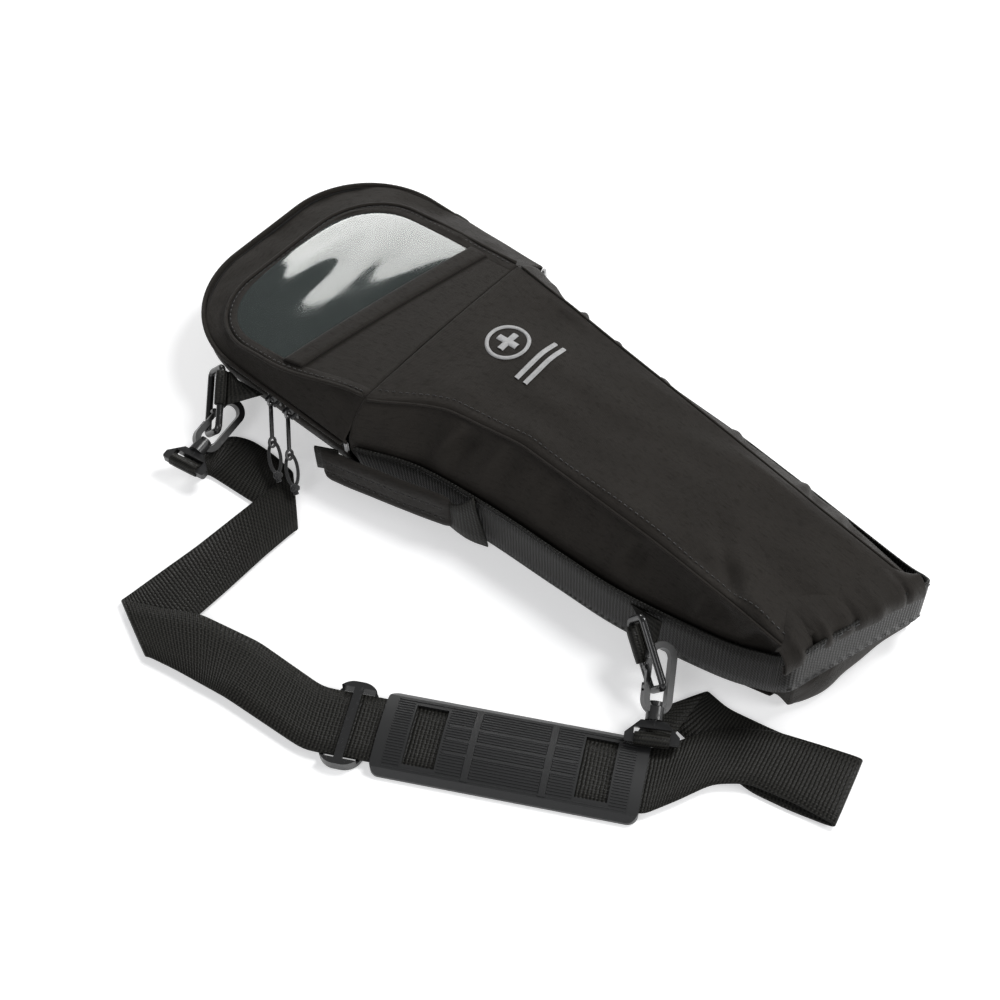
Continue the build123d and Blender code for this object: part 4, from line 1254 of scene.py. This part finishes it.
# ---------------------------------------------------------------- pad details
def build_pad():
    """Lengthwise ridges, a smooth rim and raised bars on the moulded pad."""
    def at(x, y, rise):
        crown = 7.6 + 3.4 * (1 - (y / 27.0) ** 2)
        return on_pad(x, y, crown + rise) * MM

    verts, faces = [], []

    def strip(x0, x1, y0, y1, rise):
        """Raised bar with sloped sides and closed ends, along the pad."""
        base = len(verts)
        for x in (x0, x1):
            for k, share in enumerate((0, 0.25, 0.75, 1)):
                verts.append(at(x, y0 + share * (y1 - y0), rise if k in (1, 2) else sunk))
        for k in range(3):
            faces.append((base + k, base + k + 4, base + k + 5, base + k + 1))
        faces.append((base, base + 1, base + 2, base + 3))
        faces.append((base + 7, base + 6, base + 5, base + 4))

    sunk = -0.3
    ridge_half, pad_reach = 0.65, 82
    for y in np.arange(-25, 25.1, 2.0):
        spans = ((-pad_reach, pad_reach),)
        if abs(y) < 23.5:
            spans = ((-pad_reach, -70.5), (-45.5, -28.8), (-23.2, 23.2), (28.8, 45.5), (70.5, pad_reach))
        for x0, x1 in spans:
            strip(x0, x1, y - ridge_half, y + ridge_half, 0.55)
    for x in (-26, 26):
        base = len(verts)
        crossing = np.linspace(-26, 26, 19)
        for y in crossing:
            for away, rise in ((-2.8, sunk), (-2.3, 0.6), (2.3, 0.6), (2.8, sunk)):
                verts.append(at(x + away, y, rise))
        for i in range(len(crossing) - 1):
            for k in range(3):
                o = base + i * 4 + k
                faces.append((o, o + 1, o + 5, o + 4))
    for y in (-9, 1, 11):
        strip(-44, 44, y - 1.7, y + 1.7, 0.6)
    ridges = mesh_object("pad_ridges", verts, faces)
    ridges.data.uv_layers.new(name="uv")
    ridges.data.polygons.foreach_set("use_smooth", [False] * len(ridges.data.polygons))
    dress(ridges, pad_rubber, "pad")


build_pad()


# ---------------------------------------------------------------- materials of the pieces kept from CAD
for material, nodes in (
        (hook_plastic, ("hook_upper", "hook_lower", "hook_gate_upper", "hook_gate_lower", "hook_base_upper",
                        "hook_base_lower")),
        (ring_plastic, ("ring_upper", "ring_lower")), (glide_plastic, ("tri_glide",)),
        (pad_rubber, ("shoulder_pad",)), (slider_enamel, ("zip_slider_a", "zip_slider_b")),
        (pull_enamel, ("zip_pull_a", "zip_pull_b")), (tack_thread, ("zip_end_tacks",)),
        (lining_cloth, ("back_padding", "foot_lining"))):
    for node in nodes:
        frame["nodes"][node].data.materials.clear()
        frame["nodes"][node].data.materials.append(material)


# ---------------------------------------------------------------- floor, light and camera
def build_stage():
    sheet = bpy.data.meshes.new("floor")
    reach = 6.0
    corners = [(-reach, -reach, 0), (reach, -reach, 0), (reach, reach, 0), (-reach, reach, 0)]
    sheet.from_pydata(corners, [], [(0, 1, 2, 3)])
    floor = bpy.data.objects.new("floor", sheet)
    bpy.context.scene.collection.objects.link(floor)
    floor.location.z = -0.3 * MM
    pale = bpy.data.materials.new("pale_floor")
    pale.use_nodes = True
    surface = pale.node_tree.nodes["Principled BSDF"]
    surface.inputs["Base Color"].default_value = (0.84, 0.84, 0.84, 1)
    surface.inputs["Roughness"].default_value = 0.7
    surface.inputs["Specular IOR Level"].default_value = 0.1
    surface.inputs["Emission Color"].default_value = (1, 1, 1, 1)
    surface.inputs["Emission Strength"].default_value = 0.42
    floor.data.materials.append(pale)
    for name, place, size, power, colour in (
            ("key", (-1.22, 0.74, 0.66), 0.62, 9, (1, 0.99, 0.97)),
            ("fill", (0.2, -1.8, 1.3), 1.3, 13, (0.98, 0.98, 1)),
            ("top", (0.5, 1.1, 1.9), 0.8, 30, (1, 1, 1)),
            ("rim", (1.4, 0.5, 0.8), 0.6, 9, (1, 1, 1))):
        data = bpy.data.lights.new(name, "AREA")
        data.shape = "DISK"
        data.size = size
        data.energy = power
        data.color = colour
        light = bpy.data.objects.new(name, data)
        light.location = place
        light.rotation_mode = "QUATERNION"
        light.rotation_quaternion = (Vector((0, -0.05, 0.03)) - Vector(place)).to_track_quat("-Z", "Y")
        bpy.context.scene.collection.objects.link(light)
    world = bpy.data.worlds.new("studio")
    world.use_nodes = True
    world.node_tree.nodes["Background"].inputs[0].default_value = (0.94, 0.96, 1.0, 1)
    world.node_tree.nodes["Background"].inputs[1].default_value = 0.18
    bpy.context.scene.world = world


def build_camera():
    data = bpy.data.cameras.new("camera")
    data.sensor_width = 36
    data.lens = 61.65
    data.shift_x = -0.065
    data.shift_y = -0.064
    data.clip_start = 0.02
    camera = bpy.data.objects.new("camera", data)
    azimuth, elevation, distance = math.radians(40), math.radians(53), 1.25
    back = Vector((math.sin(azimuth) * math.cos(elevation), -math.cos(azimuth) * math.cos(elevation),
                   math.sin(elevation)))
    camera.location = Vector((0, 0, 0.040)) + back * distance
    camera.rotation_mode = "QUATERNION"
    camera.rotation_quaternion = (-back).to_track_quat("-Z", "Y")
    bpy.context.scene.collection.objects.link(camera)
    bpy.context.scene.camera = camera


build_stage()
build_camera()
bpy.context.scene.view_settings.view_transform = "Standard"
bpy.context.scene.view_settings.exposure = 0.0

bpy.context.view_layer.update()
